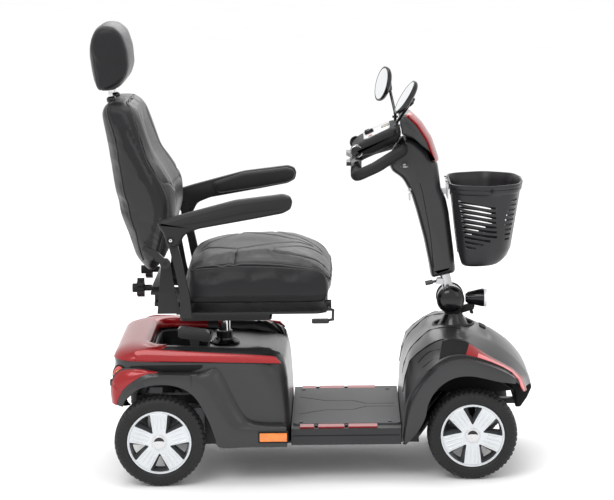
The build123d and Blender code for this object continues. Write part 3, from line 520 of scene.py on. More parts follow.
# ------------------------------------------------------------------ wheels: the mesh is made once with its outer face at +y, then mirrored
WHEELS = {"rear_left": (-451, 266), "rear_right": (-451, -266), "front_left": (457, 223), "front_right": (457, -223)}
HALF = [(93.6, 33), (96.5, 36), (99.5, 37.3), (101, 38.2), (103.2, 38.2), (104, 37.4), (108, 38.2), (113, 38.6), (114, 38.1), (118, 38.0), (122, 36.4), (125.6, 32.5),
        (127.6, 27), (128.6, 18), (129.2, 9), (129.4, 0)]


def crown(t):
    """Outer radius of the tread at t from the middle plane."""
    pts = [(0, 131.9), (12, 131.7), (20, 131.2), (26, 130.3), (31, 128.4), (34.5, 125.6), (37.4, 121.0)]
    for (a, ra), (b, rb) in zip(pts, pts[1:]):
        if t <= b:
            return ra + (rb - ra) * (t - a) / (b - a)
    return pts[-1][1]


def lug(a, width, t0, t1, skew, depth=4.0, n=5, zig=0.0):
    rings = []
    for i in range(n):
        s = i / (n - 1)
        t = t0 + (t1 - t0) * s
        c = a + skew * s + (zig * math.sin(math.pi * s))
        ro = crown(abs(t))
        ri = ro - depth
        w = width / 2
        edge = 0.35 if i in (0, n - 1) else 0
        pts = []
        for da, r in ((-w - 0.25, ri), (-w, ro - 0.5 - edge), (-w + 0.4, ro - edge), (w - 0.4, ro - edge), (w, ro - 0.5 - edge), (w + 0.25, ri)):
            q = math.radians(c + da)
            pts.append((r * math.cos(q), t, r * math.sin(q)))
        rings.append(pts)
    return loft(rings)


def tyre_parts():
    prof = HALF + [(r, -t) for r, t in HALF[:-1][::-1]] + [(95.5, -26), (96.0, 0), (95.5, 26)]
    parts = [lathe(prof, 128)]
    pitch = 360 / 52
    for i in range(52):
        a = i * pitch
        for s in (1, -1):
            off = 0 if s > 0 else pitch / 2
            outer = 36.8 if i % 2 else 33.5
            parts.append(lug(a + off, 4.4, s * 17.5, s * outer, s * 1.5))
            parts.append(lug(a + off + pitch * 0.5, 3.9, s * 2.2, s * 14.5, s * 2.2, depth=3.4, zig=0.6))
    # raised ribs and marks round the sidewall
    for k in range(60):
        q = math.radians(k * 6)
        for s in (1,):
            r0, r1 = 115.2, 117.6
            w = math.radians(0.55)
            pts = []
            for r in (r0, r1):
                pts.append([(r * math.cos(q + d), s * y, r * math.sin(q + d)) for d, y in ((-w, 37.6), (-w, 38.6), (w, 38.6), (w, 37.6))])
            parts.append(loft(pts))
    return cat(*parts)


def rim_face():
    prof = [(13, 35.2), (19, 35.0), (24, 34.4), (33, 33.2), (50, 32.4), (66, 32.7), (80, 33.7), (86.0, 34.7), (87.2, 33.9), (88.4, 34.4), (89.2, 36.3), (92.2, 36.5), (93.2, 35.2), (93.2, 24), (90, 20), (88, 13), (14, 13)]
    o = make("rim_face", *lathe(prof, 120), "silver", mats=["silver", "rim_dark"])
    for k in range(5):
        mid = math.radians(54 + 72 * k)
        rings = []
        for t, grow, base, apex in ((46, 1.16, 87.0, 33), (33.4, 1.06, 86.6, 34.5), (12.4, 0.60, 83, 47), (4, 0.55, 82, 48)):
            half = 26.5 * grow
            pts = [(apex, -2.4), (apex - 1.6, 0), (apex, 2.4)]
            span = half / base
            arc = [(base * math.cos(span * u), base * math.sin(span * u)) for u in (1, 0.93, 0.5, 0, -0.5, -0.93, -1)]
            loop_ = pts + [(arc[0][0] - 2.5, arc[0][1] - 0.4)] + arc[1:-1] + [(arc[-1][0] - 2.5, arc[-1][1] + 0.4)]
            rings.append([(p * math.cos(mid) - q * math.sin(mid), t, p * math.sin(mid) + q * math.cos(mid)) for p, q in loop_])
        tool = make("tool", *loft(rings), "rim_dark")
        cut(o, tool)
    me = o.data
    for p in me.polygons:
        c = p.center * 1000
        r = math.hypot(c.x, c.z)
        if 34 < r < 86 and (abs(p.normal.y) < 0.93 or c.y < 30):
            p.material_index = 1
    return o


def rim_parts():
    """The raised ribs along the spokes, a part of the wheel other than its spoked face."""
    ribs = []
    for k in range(5):
        mid = math.radians(90 + 72 * k)
        for u0, u1, r0, r1 in ((-15.5, -19.0, 40, 81), (-5.5, -7.0, 33, 82), (5.5, 7.0, 33, 82), (15.5, 19.0, 40, 81)):
            rings = []
            for i in range(7):
                s = i / 6
                r = r0 + (r1 - r0) * s
                u = u0 + (u1 - u0) * s
                base = np.interp(r, [33, 50, 66, 80, 86], [33.2, 32.4, 32.7, 33.7, 34.7])
                h = 1.7 * math.sin(math.pi * min(1, max(0.02, s)) ** 0.9) ** 0.5 + 0.02
                w = 1.9 + 0.8 * s
                ring = [(r, u - w, base - 0.5), (r, u - w * 0.55, base + h * 0.75), (r, u, base + h), (r, u + w * 0.55, base + h * 0.75), (r, u + w, base - 0.5)]
                rings.append([(p * math.cos(mid) - q * math.sin(mid), t, p * math.sin(mid) + q * math.cos(mid)) for p, q, t in ring])
            ribs.append(loft(rings))
    return cat(*ribs)


def barrel():
    prof = [(87.5, 24), (92.6, 22), (92.6, -27), (93.2, -30.5), (90.5, -31), (88.5, -27), (84.5, -20), (83.5, 5), (84.5, 18)]
    hub = [(12, 20), (26, 18), (30, 8), (33, 4), (62, 1), (82.5, 1), (84.5, 6), (86, 4), (86, -2), (82.5, -3), (60, -3), (34, -6), (30, -26), (12, -28)]
    return cat(lathe(prof, 96)), lathe(hub, 120)


def hub_web():
    o = make("hub_web", *barrel()[1], "rim_dark")
    for k in range(5):
        mid = math.radians(54 + 72 * k)
        pts = [(46, -2), (45, 0), (46, 2), (79, 15.5), (80.6, 8), (81, 0), (80.6, -8), (79, -15.5)]
        rings = [[(p * math.cos(mid) - q * math.sin(mid), t, p * math.sin(mid) + q * math.cos(mid)) for p, q in pts] for t in (-12, 12)]
        cut(o, make("tool", *loft(rings), "rim_dark"))
    me = o.data
    bpy.data.objects.remove(o, do_unlink=True)
    return me


TYRE, RIBS, BARREL = tyre_parts(), rim_parts(), barrel()[0]
web_mesh = hub_web()
face0 = rim_face()
face_mesh = face0.data
bpy.data.objects.remove(face0, do_unlink=True)
CAP = lathe([(0.01, 38.6), (12, 38.4), (17.5, 37.6), (20.0, 36.2), (20.8, 34.4), (20.8, 30), (0.01, 30)], 64)
LENS = lathe([(20.8, 34.6), (22.6, 35.4), (23.4, 34.7), (23.4, 33.5), (20.8, 33.5)], 64)
mesh_cache = {}
for name, (ax, ay) in WHEELS.items():
    body = f"{name}_wheel"
    side = 1 if ay > 0 else -1

    def put(part, label, mat, rep=(), slot=None, mesh=None, smooth=34):
        key = (label, side)
        turn = 36 if "front" in name and label not in ("hub_mark", "tyre_tread") else 0
        if mesh is not None:
            me = mesh.copy()
            if side < 0:
                me.transform(Matrix.Scale(-1, 4, (0, 1, 0)))
                me.flip_normals()
            o = bpy.data.objects.new(f"{name}_{label}", me)
            scene.collection.objects.link(o)
            shade(o, smooth)
        elif key in mesh_cache:
            o = bpy.data.objects.new(f"{name}_{label}", mesh_cache[key])
            scene.collection.objects.link(o)
        else:
            o = make(f"{name}_{label}", *(part if side > 0 else flip_y(part)), mat, smooth=smooth)
            mesh_cache[key] = o.data
        o.location = (ax * 0.001, ay * 0.001, 0.132)
        o.rotation_euler = (0, math.radians(-turn), 0)
        place(o, body, rep, slot)
        return o

    put(TYRE, "tyre_tread", "tyre", f"{name}_tyre", "tyre_rubber", smooth=30)
    put(None, "rim_face", "silver", f"{name}_rim", "silver_rim", mesh=face_mesh, smooth=32)
    put(RIBS, "rim_ribs", "silver", (), "silver_rim", smooth=50)
    put(BARREL, "rim_barrel", "rim_dark", (), "silver_rim")
    put(None, "hub_web", "rim_dark", (), "silver_rim", mesh=web_mesh, smooth=32)
    put(CAP, "hub_cap", "silver_cap", (), "silver_rim")
    put(LENS, "hub_cap_ring", "silver", (), "silver_rim")
    # dark crescent window at the top of the cap
    arc = [(15.2 * math.cos(a), 15.2 * math.sin(a) + 1.0) for a in np.linspace(math.radians(12), math.radians(168), 18)]
    low = [(14.5 * math.cos(a), 3.4 + 2.0 * math.sin(a)) for a in np.linspace(math.radians(180), math.radians(0), 10)]
    out = [(x, z) for x, z in arc + low]
    put(prism(out, 37.6, 38.9), "hub_mark", "gloss_black", (), "silver_rim")


# ------------------------------------------------------------------ rear body: one lofted shell, the red hood on it, the well, the flares and lamps
def plan_loop(z, xr, xf, hw, rr, rf):
    """A rounded rectangle seen from above, from the middle of the rear edge round the left side: (x, y, z) points."""
    half = [(xr, y) for y in np.linspace(0, hw - rr, 6)]
    half += [(xr + rr - rr * math.cos(a), hw - rr + rr * math.sin(a)) for a in np.linspace(0, math.pi / 2, 9)[1:]]
    half += [(x, hw) for x in np.linspace(xr + rr, xf - rf, 16)[1:]]
    half += [(xf - rf + rf * math.sin(a), hw - rf + rf * math.cos(a)) for a in np.linspace(0, math.pi / 2, 9)[1:]]
    half += [(xf, y) for y in np.linspace(hw - rf, 0, 7)[1:]]
    full = half + [(x, -y) for x, y in half[1:-1][::-1]]
    out = []
    for x, y in full:
        zz = z - 0.035 * (x + 400) * max(0, min(1, (z - 300) / 55))
        out.append([x, y, zz])
    return out


LAYERS = [(113, -556, -72, 256, 40, 40), (150, -558, -72, 259, 44, 44), (200, -560, -73, 261, 46, 50), (260, -566, -76, 262, 48, 60), (300, -572, -79, 262, 52, 68),
          (335, -579, -83, 262, 58, 78), (356, -583, -86, 261, 64, 88), (360, -584, -87, 261.5, 66, 90), (372, -579, -90, 258.5, 74, 96), (382, -568, -95, 252, 82, 104),
          (389, -552, -103, 243, 86, 108), (394, -535, -114, 232, 84, 104), (396.5, -517, -128, 219, 76, 92), (397, -502, -142, 205, 66, 80), (396, -491, -152, 194, 60, 70),
          (392, -486, -156, 188, 56, 64), (384, -484, -158, 184, 54, 62), (372, -483, -159, 182, 52, 60)]


def rear_grid():
    g = [plan_loop(*layer) for layer in LAYERS]
    # the well is open at the front: between the rims the top edge falls to the tray, over a rounded front edge
    for i, ring in enumerate(g):
        for p in ring:
            if p[0] > -330 and LAYERS[i][0] >= 335:
                k = 1 - max(0, min(1, (abs(p[1]) - 166) / 16))
                k = k * k * (3 - 2 * k)
                if k > 0:
                    s = (i - 5) / (len(g) - 6)
                    a = s * math.pi / 2
                    tx, tz = -112 + 26 * math.cos(a) - 8 * s, 331 + 24 * math.sin(a)
                    p[0] += (tx - p[0]) * k
                    p[2] += (tz - p[2]) * k
    return g


G = rear_grid()
NL, NK = len(G), len(G[0])
v = [tuple(p) for ring in G for p in ring]
shell = make("rear_shell", v, ring_faces(NL, NK), "charcoal")
solid(shell, 3, offset=-1)


def arch_tool(x, r, y0, y1):
    pts = [(x + r * math.cos(a), 132 + r * math.sin(a)) for a in np.linspace(math.radians(-60), math.radians(240), 60)]
    return make("tool", *prism(pts, y0, y1), "charcoal")


for s in (1, -1):
    cut(shell, arch_tool(-451, 168, s * 205, s * 320))
cut(shell, make("tool", *block(-700, -440, -400, 400, 0, 236), "charcoal"))
cut(shell, make("tool", *block(-330, -290, -400, -205, 60, 128), "charcoal"))
cut(shell, make("tool", *block(-330, -290, 205, 400, 60, 128), "charcoal"))
shade(shell, 32)
place(shell, "chassis", "rear_body_shell", "charcoal_plastic")


def shell_patch(name, keep, mat, lift, thick, slot, inset=0.0):
    """A cover that lies on part of the shell: faces whose centre passes keep, lifted and given a thickness."""
    me = bpy.data.meshes.new(name)
    me.from_pydata([tuple(c * 0.001 for c in p) for p in v], [], ring_faces(NL, NK))
    o = bpy.data.objects.new(name, me)
    scene.collection.objects.link(o)
    me.materials.append(M[mat])
    tidy(o)
    bm = bmesh.new()
    bm.from_mesh(me)
    gone = [f for f in bm.faces if not keep(f.calc_center_median() * 1000)]
    bmesh.ops.delete(bm, geom=gone, context="FACES")
    bm.normal_update()
    for q in bm.verts:
        q.co += q.normal * lift * 0.001
    bm.to_mesh(me)
    bm.free()
    s_ = o.modifiers.new("s", "SOLIDIFY")
    s_.thickness = thick * 0.001
    s_.offset = 1
    b = o.modifiers.new("b", "BEVEL")
    b.width = 0.0008
    b.segments = 2
    b.limit_method = "ANGLE"
    b.angle_limit = math.radians(45)
    apply_mods(o, 40)
    place(o, "chassis", (), slot)
    return o


def in_hood(c):
    return c.z > 361 - 0.035 * (c.x + 400) and c.x < (-338 if c.y > 100 else -438)


hood = shell_patch("red_hood", in_hood, "red", 0.4, 2.0, "red_metallic")
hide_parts("rear_top_cover")


def side_band(s):
    """The red band along the side, chamfered at its front end, with a dark shadow groove under it."""
    top = [(-560, 372), (-533, 387), (-496, 397), (-425, 394), (-317, 387), (-200, 380), (-138, 375.5), (-112, 372.5)]
    bot = [(-548, 363), (-519, 368.5), (-497, 365.5), (-425, 363), (-318, 360.5), (-200, 357.5), (-138, 355.8), (-97, 354.5)]
    top, bot = smooth_line([(x, 0, z) for x, z in top], 5), smooth_line([(x, 0, z) for x, z in bot], 5)
    rings = []
    for (xt, _, zt), (xb, _, zb) in zip(top, bot):
        yt = 262 - 0.34 * max(0, zt - zb - 4) - 1.5
        yo = 264.3
        if xt < -520:
            k = min(1, (-520 - xt) / 40)
            yt -= 14 * k
            yo -= 13 * k
        rings.append([(xt, s * (yt - 5), zt - 1.5), (xt, s * yt, zt + 0.5), (xt, s * (yt + 1.6), zt - 1.0), ((xt + xb) / 2, s * ((yt + yo) / 2 + 1.6), (zt + zb) / 2),
                      (xb, s * yo, zb + 1.6), (xb, s * (yo - 0.8), zb), (xb, s * (yo - 5), zb + 0.5)])
    o = make(f"red_band_{'left' if s > 0 else 'right'}", *loft(rings), "red", smooth=42)
    place(o, "chassis", (), "red_metallic")
    g = [[(x, s * y, z - 0.2), (x, s * y, z - 2.4), (x, s * (y - 4), z - 2.4), (x, s * (y - 4), z - 0.2)] for (x, _, z) in bot for y in ([263.0 if x > -520 else 263.0 - 13 * min(1, (-520 - x) / 40)])]
    o = make(f"band_gap_{'left' if s > 0 else 'right'}", *loft(g), "guard", smooth=42)
    place(o, "chassis", (), "charcoal_plastic")


for s in (1, -1):
    side_band(s)

# tray, recess and boot
tray = []
for x, z in ((-484, 366), (-430, 366), (-380, 365.5), (-330, 364), (-260, 361), (-200, 358), (-150, 356), (-118, 355)):
    w = 182 if x < -160 else 176
    tray.append([(x, y, z + 0.00012 * y * y * 0.6) for y in np.linspace(-w, w, 15)])
o = make("well_tray", *loft(tray, closed=False), "charcoal")
solid(o, 3)
cut(o, make("tool", *extrude_xy(round_outline([(-470, -150), (-318, -150), (-318, 150), (-470, 150)], 28), 300, 420), "guard"))
cut(o, make("tool", *lathe([(0.01, 300), (40, 300), (40, 420), (0.01, 420)], 48, closed=False, axis="Z", at=(-272, 0, 0)), "guard"))
place(o, "chassis", (), "charcoal_plastic")
out = round_outline([(-470, -150), (-318, -150), (-318, 150), (-470, 150)], 28)
rings = [[(x, y, z) for x, y in [(-394 + (a + 394) * k, b * k) for a, b in out]] for z, k in ((369.5, 1.045), (370, 1.02), (368, 0.99), (330, 0.955), (318, 0.93), (316, 0.5), (316, 0.02))]
o = make("well_recess", *loft(rings, caps=(False, True)), "guard")
solid(o, 1.5, offset=0)
for q in (make("tool", *block(-420, -330, -115, -75, 290, 340), "guard"),):
    cut(o, q)
place(o, "chassis", (), "charcoal_plastic")
o = make("post_boot", *lathe([(26, 352), (45, 353), (46, 364), (43, 367), (40, 365), (37, 371), (34, 368.5), (31, 375), (28.6, 372.5), (27, 380), (25.2, 380), (25.2, 352)], 64, axis="Z", at=(-272, 0, 0)), "gloss_black")
place(o, "chassis", (), "charcoal_plastic")

# wheel-arch liners
for s in (1, -1):
    side = "left" if s > 0 else "right"
    rings = []
    for a in np.linspace(math.radians(-5), math.radians(138), 44):
        c, d = math.cos(a), math.sin(a)
        rings.append([(-451 + r * c, s * y, 132 + r * d) for r, y in ((167.5, 259), (171, 259), (171, 178), (150, 174), (150, 177), (167.5, 181))])
    o = make(f"rear_arch_liner_{side}", *loft(rings), "guard")
    place(o, "chassis", (), "charcoal_plastic")

# flares: B on the body side, C the crest, L the lip that turns in
FL = [((-592, 240), (-570, 236), (-556, 232)), ((-592, 275), (-562, 258), (-549, 250)), ((-586, 314), (-546, 280), (-532, 268)), ((-562, 341), (-520, 303), (-508, 288)),
      ((-508, 348), (-485, 322), (-480, 297)), ((-444, 334), (-440, 329), (-445, 301)), ((-392, 333), (-392, 328), (-405, 297)), ((-332, 334), (-350, 324), (-368, 282)),
      ((-282, 345), (-316, 300), (-340, 255)), ((-255, 305), (-294, 262), (-318, 215)), ((-234, 257), (-268, 215), (-302, 178)), ((-210, 212), (-243, 180), (-290, 142)),
      ((-190, 190), (-212, 168), (-276, 113)), ((-150, 180), (-160, 165), (-200, 113)), ((-100, 178), (-100, 166), (-100, 113)), ((-84, 176), (-84, 166), (-82, 113))]
CURVES = [smooth_line([(q[k][0], 0, q[k][1]) for q in FL], 5) for k in range(3)]


def flare_ring(i):
    b, c, l = (Vector(row[i]) for row in CURVES)
    st = i / 5
    rear = max(0, (3 - st) / 3)
    ledge = max(0, min(1, (st - 3.6) / 1.2)) * max(0, min(1, (7.9 - st) / 1.0))
    yb = 259.0 - 26 * rear * rear - 3 * ledge
    yc = 288.5 - 22 * rear
    yl = 293.5 - 22 * rear
    inn = (l - Vector((-451, 0, 132))).normalized()
    if st >= 11:
        inn = inn.lerp(Vector((0, 0, 1)), min(1, st - 11)).normalized()
    u1, u2, w1, w2 = 0.26, 0.62, 0.56, 0.90
    return [(b.x, yb, b.z), (b.x + (c.x - b.x) * u1, yb + (yc - yb) * w1, b.z + (c.z - b.z) * u1), (b.x + (c.x - b.x) * u2, yb + (yc - yb) * w2, b.z + (c.z - b.z) * u2),
            (c.x + (b.x - c.x) * 0.06, yc, c.z + (b.z - c.z) * 0.06), (c.x, yc + 1.3, c.z), (c.x + (l.x - c.x) * 0.14, yc + 2.6, c.z + (l.z - c.z) * 0.14), (c.x + (l.x - c.x) * 0.9, yl, c.z + (l.z - c.z) * 0.9),
            (l.x, yl - 1.2, l.z), (l.x + inn.x * 2, yl - 5, l.z + inn.z * 2), (l.x + inn.x * 4, yb + 4, l.z + inn.z * 4), (l.x + inn.x * 8, yb - 2, l.z + inn.z * 8)]


for s in (1, -1):
    side = "left" if s > 0 else "right"
    rings = [[(x, s * y, z) for x, y, z in flare_ring(i)] for i in range(len(CURVES[0]))]
    vv, ff = loft(rings, closed=False)
    o = make(f"rear_flare_{side}", vv, ff, "charcoal", smooth=34)
    solid(o, 2.2, offset=-1, smooth=34)
    place(o, "chassis", "rear_fenders" if s > 0 else (), "charcoal_plastic")
    # red sweep that lies on the slope between the body and the flare's crest
    rings = []
    for i in range(0, 25):
        st = i / 5
        r = flare_ring(i)
        t0, t1 = 0.10, 0.90
        if st > 3:
            k = (st - 3) / 1.8
            t0, t1 = 0.10 + 0.28 * k, 0.90 - 0.40 * k * k
        pts = [Vector(q) for q in r[:4]]

        def at(t):
            t *= 3
            j = min(2, int(t))
            return pts[j].lerp(pts[j + 1], t - j)

        up_ = (pts[3] - pts[0]).cross(Vector(flare_ring(i + 1)[0]) - pts[0])
        up_ = up_.normalized() if up_.y > 0 or up_.z > 0 else -up_.normalized()
        if up_.z < 0:
            up_ = -up_
        lift = 3.2
        line = [at(t0 + (t1 - t0) * j / 6) for j in range(7)]
        top = [q + up_ * (lift if 0 < j < 6 else lift * 0.55) for j, q in enumerate(line)]
        low = [q - up_ * 1.0 for q in line[::-1]]
        rings.append([(q.x, s * q.y, q.z) for q in top + low])
    o = make(f"red_sweep_{side}", *loft(rings), "red", smooth=44)
    place(o, "chassis", (), "red_metallic")
    # dark guard-plastic panel on the body side above the flare's crest: painted shade under the red band and the
    # flare's ledge
    o = bevel(make(f"painted_shade_panel_{side}", *prism(round_outline([(-500, 352), (-536, 350), (-530, 340), (-500, 333), (-360, 331), (-330, 340), (-318, 352)], 4), s * 255, s * 262.9), "guard"), 0.8)
    place(o, "chassis", (), "charcoal_plastic")
    # parting line across the flare
    o = make(f"flare_seam_{side}", *block(-356.4, -355.4, s * 284, s * 292.6, 287, 326), "guard")
    place(o, "chassis", (), "charcoal_plastic")
    # tail lamp: red bowl with an amber centre in a dark bezel
    ax = Vector((-0.72, 0.66 * s, 0.22)).normalized()
    rot = ax.to_track_quat("Y", "Z").to_matrix().to_4x4()
    at = Matrix.Translation((-566, s * 243, 324)) @ rot
    bez = xf(lathe([(19, -16), (25, -14), (27.5, 0), (27.0, 4.6), (25, 5.6), (23.4, 4.0), (22.6, -4), (19, -8)], 64), at)
    red_ = xf(lathe([(12.2, 6.0), (15, 8.2), (19, 7.6), (22.2, 4.4), (22.6, 0), (20, -2), (12.2, -2)], 64), at)
    amb = xf(lathe([(0.01, 8.6), (4, 8.8), (8, 8.4), (10.6, 7.2), (12.0, 5.0), (12.0, -2), (0.01, -2)], 64, closed=False), at)
    for part, nm, mt in ((bez, "bezel", "guard"), (red_, "red", "red_lens"), (amb, "amber", "orange_lens")):
        o = make(f"tail_lamp_{nm}_{side}", *part, mt)
        place(o, "chassis", "lamps_reflectors" if nm == "red" and s > 0 else (), "lamp_plastic")
    # amber side reflector in its frame
    body_ = make(f"side_reflector_{side}", *block(-161, -82, s * 288, s * 297.6, 130.5, 155.5), "amber")
    bevel(body_, 1.2)
    place(body_, "chassis", (), "lamp_plastic")
    fr = prism(round_outline([(-165, 126.5), (-78, 126.5), (-78, 159.5), (-165, 159.5)], 3), s * 288, s * 295.6)
    body_ = bevel(make(f"reflector_frame_{side}", *fr, "guard"), 0.8)
    place(body_, "chassis", (), "lamp_plastic")

# rear apron with a red reflector on it, and the black stub below it
ap = []
for x, z, w in ((-560, 229, 224), (-575, 228, 230), (-586, 231, 234), (-592, 262, 236), (-594, 292, 236), (-589, 330, 232), (-583, 352, 228), (-574, 352, 224)):
    ap.append([(x + 22 * (abs(y) / w) ** 4, y, z) for y in np.linspace(-w, w, 25)])
o = make("rear_apron", *loft(ap, closed=False), "charcoal", smooth=50)
solid(o, 3, offset=1)
place(o, "chassis", (), "charcoal_plastic")
o = bevel(make("rear_reflector", *block(-598.5, -592.5, -52, 52, 262, 284), "red_lens"), 1.2)
place(o, "chassis", (), "lamp_plastic")
for s in (1, -1):
    o = make(f"rear_stub_{'left' if s > 0 else 'right'}", *xf(lathe([(0.01, 8), (9, 7.4), (11, 5), (11.4, -3), (9, -8), (9, -22), (0.01, -22)], 32, closed=False), Matrix.Translation((-594, s * 168, 281)) @ Matrix.Rotation(math.radians(90), 4, "Z")), "guard")
    place(o, "chassis", (), "lamp_plastic")


# ------------------------------------------------------------------ front cowl: stations from the deck end over the crown to the nose
C0 = [(250, 118), (251, 160), (252, 205), (254, 262), (262, 308), (279, 350), (300, 378), (330, 402), (368, 414), (410, 416), (448, 418), (485, 412), (522, 394), (564, 363), (596, 331), (625, 291), (638, 258), (644, 240), (640, 225), (630, 210)]
CA = [(250, 118), (251, 160), (252, 203), (254, 264), (263, 318), (281, 359), (306, 386), (337, 413), (372, 421), (410, 421), (448, 411), (487, 396), (524, 378), (562, 353), (594, 325), (623, 288), (635, 257), (641, 240), (637, 225), (627, 210)]
CB = [(250, 118), (251, 160), (253, 200), (256, 252), (263, 298), (277, 345), (300, 368), (330, 390), (362, 406), (400, 410), (440, 402), (478, 377), (510, 356), (546, 336), (578, 317), (606, 290), (617, 258), (622, 240), (618, 225), (608, 210)]
CF = [(250, 118), (252, 158), (255, 195), (262, 228), (274, 255), (290, 278), (305, 298), (325, 322), (350, 344), (385, 364), (425, 370), (470, 360), (510, 347), (546, 331), (570, 315), (590, 290), (600, 258), (602, 240), (598, 225), (588, 210)]
YA = [118, 116, 114, 110, 106, 103, 100, 100, 100, 100, 102, 106, 112, 118, 122, 122, 118, 114, 110, 106]
YB = [205, 205, 205, 205, 205, 205, 205, 205, 205, 205, 205, 204, 203, 201, 198, 192, 184, 178, 172, 166]
YF = [262, 262, 261, 259, 257, 255, 253, 251, 250, 249, 248, 247, 246, 244, 240, 230, 218, 208, 200, 192]


def cowl_surface():
    rows = [smooth_line([(x, y, z) for (x, z), y in zip(row, ys)], 4) for row, ys in ((C0, [0] * 20), (CA, YA), (CB, YB), (CF, YF))]
    n = len(rows[0])
    rings = []
    for i in range(n):
        c, a, b, f = (Vector(r[i]) for r in rows)
        pts = []
        # middle to crease A: shallow crown
        for u in np.linspace(0, 1, 8)[:-1]:
            q = c.lerp(a, u)
            bul = u * u * (3 - 2 * u) if i < 48 else 1 - math.cos(u * math.pi / 2)
            q.x = c.x + (a.x - c.x) * bul
            q.z = c.z + (a.z - c.z) * bul
            pts.append(q)
        # a soft edge at A, then the shoulder to B
        for u in (0.0, 0.12, 0.4, 0.7, 0.92, 1.0):
            q = a.lerp(b, u)
            q.x += (b.x - a.x) * 0.10 * math.sin(math.pi * u)
            q.z += 2.4 * math.sin(math.pi * u)
            pts.append(q)
        for u in (0.10, 0.35, 0.65, 1.0):
            q = b.lerp(f, u)
            q.y += 5.0 * math.sin(math.pi * u)
            pts.append(q)
        d = Vector((457 - f.x, 0, 150 - f.z)).normalized()
        pts.append(f + d * 16 + Vector((0, 1.0, 0)))
        full = [Vector((q.x, -q.y, q.z)) for q in pts[1:][::-1]] + pts
        rings.append([tuple(q) for q in full])
    return rings


CR = cowl_surface()
cv, cf = loft(CR, closed=False)
cowl = make("front_cowl_shell", cv, cf, "charcoal", smooth=30)
solid(cowl, 3, offset=-1, smooth=30)
# crown opening for the steering column, with a soft raised ring
cut(cowl, make("tool", *lathe([(0.01, 390), (59, 390), (59, 470), (0.01, 470)], 64, closed=False, axis="Z", at=(413, 0, 0)), "charcoal"), 30)
# the shell ends above a slanted line at the nose, where the black guard takes over
cut(cowl, make("tool", *prism([(548, 296), (586, 284), (612, 262), (660, 246), (700, 120), (548, 120)], -320, 320), "guard"), 30)
# wheel arches
for s in (1, -1):
    pts = [(457 + 163 * math.cos(a), 132 + 168 * math.sin(a)) for a in np.linspace(math.radians(-60), math.radians(240), 60)]
    cut(cowl, make("tool", *prism(pts, s * 172, s * 320), "guard"), 30)
place(cowl, "chassis", "front_cowl", "charcoal_plastic")
ring = []
for a in np.linspace(0, 2 * math.pi, 72, endpoint=False):
    c, d = math.cos(a), math.sin(a)
    z0 = 415.0 + 1.5 * c + 0.0009 * (58 * d) ** 2
    ring.append([(413 + r * c, r * d, z0 + z) for r, z in ((64, -2.4), (63.2, 0.6), (60.8, 1.8), (58.2, 0.8), (57.0, -2), (56.4, -14), (58.5, -14), (59.5, -4))])
o = make("crown_ring", *loft(ring, loop=True), "charcoal_matt")
place(o, "chassis", (), "charcoal_plastic")
# dark floor under the crown opening and the small slot in front of it
o = make("crown_well", *lathe([(23, 396), (57.5, 396), (57.5, 400), (44, 401), (40, 403), (30, 404), (26, 402), (23, 402)], 64, axis="Z", at=(413, 0, 0)), "guard")
place(o, "chassis", (), "charcoal_plastic")
o = bevel(make("crown_slot", *xf(extrude_xy(round_outline([(-11, -26), (11, -26), (11, 26), (-11, 26)], 7), -3, 1.6), Matrix.Translation((500, 0, 405.4)) @ Matrix.Rotation(math.radians(26), 4, "Y")), "guard"), 1.0)
place(o, "chassis", (), "charcoal_plastic")

# flares
FF = [((252, 130), (258, 118), (262, 110)), ((257, 165), (260, 140), (282, 132)), ((260, 190), (264, 168), (302, 160)), ((268, 232), (276, 218), (319, 196)), ((281, 259), (292, 258), (326, 230)), ((300, 288), (315, 296), (341, 262)),
      ((325, 318), (344, 328), (363, 287)), ((352, 342), (373, 352), (390, 305)), ((390, 360), (406, 364), (418, 314)), ((430, 364), (446, 364), (454, 315)), ((475, 354), (490, 351), (494, 307)), ((515, 341), (530, 335), (532, 297)),
      ((550, 326), (560, 319), (560, 292)), ((576, 308), (584, 300), (582, 286))]
FYB = [259, 259, 258, 255, 252, 248, 245, 243, 242, 241, 240, 238, 234, 226]
FYC = [268, 275, 281, 285, 286, 286, 285.5, 285, 284.5, 284, 283, 281, 275, 258]
FYL = [271, 278, 284, 288, 288.5, 288.5, 288, 287.5, 287, 286.5, 285.5, 283, 277, 260]
FROWS = [smooth_line([(q[k][0], yy, q[k][1]) for q, yy in zip(FF, ys)], 5) for k, ys in ((0, FYB), (1, FYC), (2, FYL))]


def front_flare_ring(i):
    b, c, l = (Vector(r[i]) for r in FROWS)
    inn = (l - Vector((457, l.y, 132)))
    inn.y = 0
    inn.normalize()
    return [tuple(b), tuple(b.lerp(c, 0.3) + Vector((0, (c.y - b.y) * 0.22, 0))), tuple(b.lerp(c, 0.68) + Vector((0, (c.y - b.y) * 0.2, 0))), tuple(c + (b - c) * 0.05), (c.x, c.y + 1.2, c.z),
            (c.x + (l.x - c.x) * 0.12, c.y + 2.2, c.z + (l.z - c.z) * 0.12), (c.x + (l.x - c.x) * 0.9, l.y, c.z + (l.z - c.z) * 0.9), (l.x, l.y - 1.2, l.z),
            (l.x + inn.x * 2, l.y - 5, l.z + inn.z * 2), (l.x + inn.x * 4, b.y + 4, l.z + inn.z * 4), (l.x + inn.x * 8, b.y - 3, l.z + inn.z * 8)]


